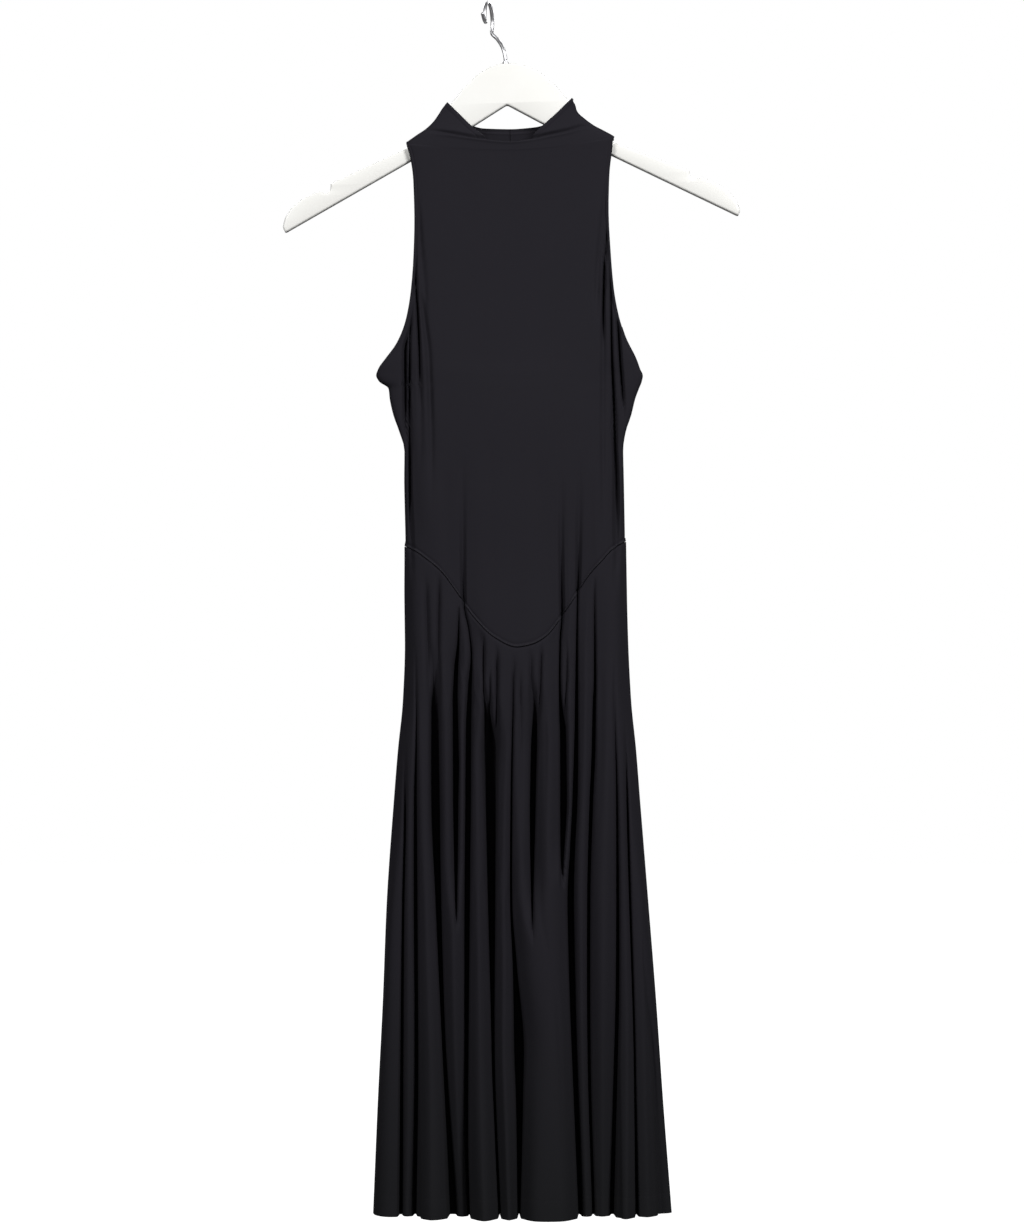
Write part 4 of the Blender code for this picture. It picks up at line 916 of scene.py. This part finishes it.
def jersey():
    # Near-black fine knit: V stitches in columns on the cloth's own map, slow colour drift, faint nap, and a
    # painted shade that darkens the colour towards the hem
    made, tree, shader = newMaterial(
        "jersey", jerseyLook["top"], jerseyLook["roughness"],
        Specular_IOR_Level=0.05, Sheen_Weight=0.006, Sheen_Roughness=0.5,
    )
    cloth = tree.nodes.new("ShaderNodeUVMap")
    cloth.uv_map = "cloth"
    parts = tree.nodes.new("ShaderNodeSeparateXYZ")
    tree.links.new(cloth.outputs["UV"], parts.inputs[0])
    wales = nodeMath(tree, "MULTIPLY", parts.outputs["X"], 1 / (jerseyLook["wale"] * mm))
    inWale = nodeMath(tree, "SUBTRACT", nodeMath(tree, "FRACT", wales), 0.5)
    fromRib = nodeMath(tree, "ABSOLUTE", inWale)
    courses = nodeMath(tree, "MULTIPLY", parts.outputs["Y"], 2 * math.pi / (jerseyLook["course"] * mm))
    loops = nodeMath(tree, "SINE", nodeMath(tree, "MULTIPLY_ADD", fromRib, 2 * math.pi, courses))
    rib = nodeMath(tree, "MULTIPLY_ADD", fromRib, -2.0, 1.0)
    bumped(tree, shader, nodeMath(tree, "MULTIPLY_ADD", loops, 0.35, rib), 0.35, jerseyLook["knitDepth"] * mm)
    place = tree.nodes.new("ShaderNodeSeparateXYZ")
    tree.links.new(tree.nodes.new("ShaderNodeTexCoord").outputs["Object"], place.inputs[0])
    # Painted shade: the base colour blends towards the darker hem colour as the drop nears the hem, standing
    # in for the light falling off there
    fromHem = tree.nodes.new("ShaderNodeMapRange")
    fromHem.inputs["From Min"].default_value = -dress["hem"] * mm
    fromHem.inputs["From Max"].default_value = -jerseyLook["paintedShadeBelow"] * mm
    tree.links.new(place.outputs["Z"], fromHem.inputs["Value"])
    drift = nodeMath(tree, "SUBTRACT", noiseOn(tree, 7.0), 0.5)
    share = nodeMath(tree, "MULTIPLY_ADD", drift, jerseyLook["drift"], fromHem.outputs["Result"])
    blend = tree.nodes.new("ShaderNodeMix")
    blend.data_type = "RGBA"
    tree.links.new(share, blend.inputs[0])
    blend.inputs[6].default_value = (*jerseyLook["hem"], 1.0)  # sockets 6 and 7 are its two colours
    blend.inputs[7].default_value = (*jerseyLook["top"], 1.0)
    tree.links.new(blend.outputs[2], shader.inputs["Base Color"])
    unevenRoughness(tree, shader, 22.0, 0.12, jerseyLook["roughness"] - 0.06)
    return made


def threadFinish():
    made, tree, shader = newMaterial("sewing_thread", (0.014, 0.0135, 0.016), 0.5, Specular_IOR_Level=0.4)
    unevenRoughness(tree, shader, 900.0, 0.25, 0.42)
    return made


def whitePaint():
    # Satin paint: a faint orange peel and a slightly warmer tone where it pools
    made, tree, shader = newMaterial(
        "white_hanger", (0.9, 0.89, 0.86), 0.38, Coat_Weight=0.15, Coat_Roughness=0.3,
    )
    tone = tree.nodes.new("ShaderNodeValToRGB")
    tone.color_ramp.elements[0].color = (0.86, 0.85, 0.81, 1.0)
    tone.color_ramp.elements[1].color = (0.92, 0.92, 0.895, 1.0)
    tree.links.new(noiseOn(tree, 18.0, 4.0), tone.inputs["Fac"])
    tree.links.new(tone.outputs["Color"], shader.inputs["Base Color"])
    bumped(tree, shader, noiseOn(tree, 420.0, 3.0), 0.12, 0.0002)
    return made


def brightWire():
    made, tree, shader = newMaterial("hook_wire", (0.72, 0.72, 0.74), 0.4, 1.0)
    unevenRoughness(tree, shader, 600.0, 0.18, 0.32, 4.0)
    return made


hanger = {
    "thickness": 10.0,
    "round": 1.9,  # radius of its edges
    "tilt": 2.13,  # degrees, its right arm higher
    "top": (16.0, 55.9),  # where the hook enters: right of the origin, and drop
    "step": 5.0,
    "apex": 38.6,  # of the arch under the neck, down from the top
    # left, right and down from the top, round the neck
    "dome": ((-5.0, 8.0, 0.0), (-15.0, 20.0, 2.8), (-27.0, 32.5, 9.4), (-41.5, 46.5, 22.5),
             (-53.0, 57.5, 36.5), (-60.3, 61.8, 46.0), (-67.0, 67.5, 54.2), (-76.2, 75.5, 61.6),
             (-87.0, 85.0, 69.2), (-97.0, 95.5, 76.6)),
    # along the arms: the notch, the rounded end, and back under the arm
    "arm": ((-168.3, 168.8, 106.6), (-168.6, 169.2, 112.4), (-173.0, 173.4, 116.2), (-179.5, 180.5, 113.2),
            (-196.0, 195.0, 120.3), (-206.0, 205.5, 128.0), (-212.5, 212.5, 137.5), (-214.8, 215.1, 146.0),
            (-212.6, 213.2, 151.2), (-94.0, 95.0, 89.0), (-32.0, 32.2, 57.3)),
}


def hangerBoard(finish):
    # The outline is cut into short steps, its corners are trimmed three times, and a quarter round is carried
    # along it in front and behind
    left, right, down = np.array(hanger["dome"] + hanger["arm"]).T
    corners = np.stack([np.append(right, 0.0), np.append(down, hanger["apex"])], axis=1)
    outline = np.concatenate([corners, np.stack([left[::-1], down[::-1]], axis=1)])
    outline[:, 1] *= -1
    ahead = np.roll(outline, -1, axis=0)
    counts = np.maximum(1, np.ceil(np.linalg.norm(ahead - outline, axis=1) / hanger["step"]).astype(int))
    start = np.repeat(np.arange(len(outline)), counts)
    share = (np.arange(counts.sum()) - np.repeat(np.cumsum(counts) - counts, counts)) / counts[start]
    outline = outline[start] + (ahead[start] - outline[start]) * share[:, None]
    for _ in range(3):
        ahead = np.roll(outline, -1, axis=0)
        trimmed = [0.75 * outline + 0.25 * ahead, 0.25 * outline + 0.75 * ahead]
        outline = np.stack(trimmed, axis=1).reshape(-1, 2)
    way = np.roll(outline, -1, axis=0) - np.roll(outline, 1, axis=0)
    way /= np.linalg.norm(way, axis=1, keepdims=True)
    inward = np.stack([way[:, 1], -way[:, 0]], axis=1)
    angles = np.radians([90, 60, 30, 0])
    half = hanger["thickness"] / 2
    edge = hanger["round"]
    profile = [(edge * (1 - math.cos(a)), -(half - edge + edge * math.sin(a))) for a in angles]
    profile += [(inset, -depth) for inset, depth in profile[::-1]]
    rings = np.stack([np.insert(outline + inward * inset, 1, depth, axis=1) for inset, depth in profile])
    quads = quadsOf(len(profile), len(outline), True)
    front = [[(x, z, 0.0) for x, z in (outline + inward * edge).tolist()]]
    fill = np.array(tessellate_polygon(front))
    spread = rings[0][fill]
    turned = np.cross(spread[:, 1] - spread[:, 0], spread[:, 2] - spread[:, 0])[:, 1]
    fill = np.where((turned > 0)[:, None], fill[:, ::-1], fill)
    behind = fill[:, ::-1] + (len(profile) - 1) * len(outline)
    faces = quads.tolist() + fill.tolist() + behind.tolist()
    tilt = math.radians(hanger["tilt"])
    points = rings.reshape(-1, 3)
    x = points[:, 0] * math.cos(tilt) - points[:, 2] * math.sin(tilt) + hanger["top"][0]
    z = points[:, 0] * math.sin(tilt) + points[:, 2] * math.cos(tilt) - hanger["top"][1]
    made = meshObject("hanger_board", np.stack([x, points[:, 1], z], axis=1) * mm, faces, None, finish)
    made.data.set_sharp_from_angle(angle=math.radians(40))
    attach(made, "root")
    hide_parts("hanger_body")


hook = {
    "wire": 3.5,  # across
    "inner": 15.25,  # radius inside the loop
    "turn": 12.0,  # the loop is seen nearly from its edge
    "sweep": (-30.0, 180.0),  # round the loop, from behind over the top to the front
    # places in the frame, up the stem to the loop, and out past its front end
    "stem": ((16.0, 0.0, -57.0), (15.8, 0.0, -50.5), (14.6, 1.0, -44.0), (12.2, 4.4, -37.6),
             (8.4, 9.6, -31.0)),
    "flick": ((-2.6, -17.4, -19.6), (-3.6, -21.0, -18.4), (-5.2, -24.5, -13.0)),
    "steps": 140,
    "sides": 16,
}


def hookWire(finish):
    # A round profile carried along the bent wire, closed by small domes
    radius = hook["inner"] + hook["wire"] / 2
    turns = np.radians(np.linspace(*hook["sweep"], 18))
    reach, height = radius * np.cos(turns), radius * np.sin(turns) - hook["inner"]
    turn = math.radians(hook["turn"])
    loop = np.stack([reach * math.sin(turn), reach * math.cos(turn), height], axis=1)
    route = np.concatenate([hook["stem"], loop, hook["flick"]])
    distance = lengthsAlong(route, 0)
    even = np.linspace(0, distance[-1], hook["steps"])
    route = through(distance, route, even)
    ahead = np.gradient(route, axis=0)
    ahead /= np.linalg.norm(ahead, axis=1, keepdims=True)
    half = hook["wire"] / 2
    domes = np.radians([75, 50, 25])
    route = np.concatenate([
        route[:1] - ahead[:1] * (half * np.sin(domes))[:, None], route,
        route[-1:] + ahead[-1:] * (half * np.sin(domes[::-1]))[:, None],
    ])
    ahead = np.concatenate([np.repeat(ahead[:1], 3, axis=0), ahead, np.repeat(ahead[-1:], 3, axis=0)])
    thick = np.concatenate([half * np.cos(domes), np.full(hook["steps"], half), half * np.cos(domes[::-1])])
    across = np.cross(ahead, [math.cos(turn), -math.sin(turn), 0.0])
    across /= np.linalg.norm(across, axis=1, keepdims=True)
    outward = np.cross(across, ahead)
    sides = hook["sides"]
    turns = (np.arange(sides) * 2 * math.pi / sides)[:, None]
    ring = across[:, None] * np.cos(turns) + outward[:, None] * np.sin(turns)
    points = (route[:, None] + ring * thick[:, None, None]).reshape(-1, 3)
    quads = quadsOf(len(route), sides, True)[:, [0, 3, 2, 1]]
    ends = [list(range(sides)), list(range(len(points) - 1, len(points) - sides - 1, -1))]
    made = meshObject("hook_bent_wire", points * mm, quads.tolist() + ends, None, finish)
    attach(made, "root")
    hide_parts("hook")


ferrule = {"radius": 3.1, "height": 3.2, "sunk": 0.3, "sides": 40}


def hookFerrule(finish):
    # A turned collar where the wire enters the board: its profile, in shares of its radius and height, is
    # spun round the stem
    radius, height = np.array([
        (0.57, 0.0), (1.0, 0.0), (1.0, 0.35), (0.92, 0.8), (0.7, 1.0), (0.57, 1.0), (0.57, 0.0),
    ]).T[..., None]
    turns = np.arange(ferrule["sides"] + 1) * 2 * math.pi / ferrule["sides"]
    x = hook["stem"][0][0] + ferrule["radius"] * radius * np.cos(turns)
    y = ferrule["radius"] * radius * np.sin(turns)
    z = np.broadcast_to(ferrule["height"] * height - hanger["top"][1] - ferrule["sunk"], x.shape)
    made = gridObject("hook_ferrule", np.stack([x, y, z], axis=-1) * mm, False, None, finish)
    merge = made.modifiers.new("weld", "WELD")
    merge.merge_threshold = 0.00001
    made.data.set_sharp_from_angle(angle=math.radians(35))
    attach(made, "root")


studio = {
    "lens": 100.0,
    "sensor": 36.0,
    "centre": (22.1, -571.0),  # what the middle of the picture shows: right of the origin, and up
    "tall": 1150.6,  # height of the picture at the dress
    "floor": -1255.0,
    "ambient": 0.1,  # how much of the white surround lights the dress
    # lights: place, what they point at and size in metres, power
    "lights": {
        "key": ((1.9, -2.4, 1.3), (0, 0, -0.5), (0.9, 1.3), 98.0),
        "fill": ((-1.8, -2.4, 1.3), (0, 0, -0.5), (0.9, 1.3), 58.0),
        "behind_left": ((-0.9, 3.0, 1.1), (0, 0, -0.6), (1.0, 1.6), 58.0),
        "behind_right": ((0.9, 3.0, 1.1), (0, 0, -0.6), (1.0, 1.6), 58.0),
    },
}


def areaLight(name, place, target, size, power):
    lamp = bpy.data.lights.new(name, "AREA")
    lamp.shape = "RECTANGLE"
    lamp.size, lamp.size_y = size
    lamp.energy = power
    made = bpy.data.objects.new(name, lamp)
    made.location = place
    away = np.array(target) - np.array(place)
    pan = math.atan2(-away[0], away[1])
    made.rotation_euler = (math.atan2(np.hypot(away[0], away[1]), -away[2]), 0, pan)
    bpy.context.scene.collection.objects.link(made)


def studioSet():
    lens = bpy.data.cameras.new("camera")
    lens.sensor_fit = "VERTICAL"
    lens.sensor_height = studio["sensor"]
    lens.lens = studio["lens"]
    camera = bpy.data.objects.new("camera", lens)
    away = studio["tall"] * studio["lens"] / studio["sensor"]
    camera.location = (studio["centre"][0] * mm, -away * mm, studio["centre"][1] * mm)
    camera.rotation_euler = (math.pi / 2, 0, 0)
    bpy.context.scene.collection.objects.link(camera)
    bpy.context.scene.camera = camera
    bpy.context.scene.view_settings.view_transform = "Standard"
    world = bpy.data.worlds.new("studio")
    world.use_nodes = True
    surround = world.node_tree.nodes["Background"]
    surround.inputs["Color"].default_value = (1.0, 1.0, 1.0, 1.0)
    rays = world.node_tree.nodes.new("ShaderNodeLightPath")
    dimmed = (1 - studio["ambient"], studio["ambient"])
    seen = nodeMath(world.node_tree, "MULTIPLY_ADD", rays.outputs["Is Camera Ray"], *dimmed)
    world.node_tree.links.new(seen, surround.inputs["Strength"])
    bpy.context.scene.world = world
    pale, tree, shader = newMaterial(
        "pale_floor", (0.1, 0.1, 0.1), 0.9, Specular_IOR_Level=0.1, Emission_Color=(1.0, 1.0, 1.0, 1.0),
    )
    rays = tree.nodes.new("ShaderNodeLightPath")
    tree.links.new(rays.outputs["Is Camera Ray"], shader.inputs["Emission Strength"])
    reach = np.linspace(-6, 6, 13)
    x, y = np.meshgrid(reach, reach)
    level = np.full_like(x, studio["floor"] * mm)
    floor = gridObject("floor", np.stack([x, y, level], axis=-1), False, None, pale)
    for name, light in studio["lights"].items():
        areaLight(name, *light)


print("finishes")
cloth = jersey()
sewing = threadFinish()
paint = whitePaint()
wire = brightWire()

print("hanger and hook")
hangerBoard(paint)
hookWire(wire)
hookFerrule(wire)

print("skirt")
for side, look in (("front", frontSkirt), ("back", backSkirt)):
    points, normals = skirtSheet(side, look)
    lines = [(points[row], normals[row]) for row in skirtRows["stitched"]]
    sewn = stitchPiece(side + "_skirt_stitches", lines, sewing)
    clothPiece(side + "_skirt", points, side, cloth, look)

print("bodice")
for node, side, look, low, high in (
    ("front_bodice", "front", frontBodice, -1.0, 1.0),
    ("back_bodice_left", "back", backBodice, -1.0, 0.0),
    ("back_bodice_right", "back", backBodice, 0.0, 1.0),
):
    points, normals = finishedBodice(side, look, low, high)
    row = bodiceRows["stitched"]
    sewn = stitchPiece(node + "_stitches", [(points[row], normals[row])], sewing)
    clothPiece(node, points, side, cloth, look)

print("studio")
studioSet()
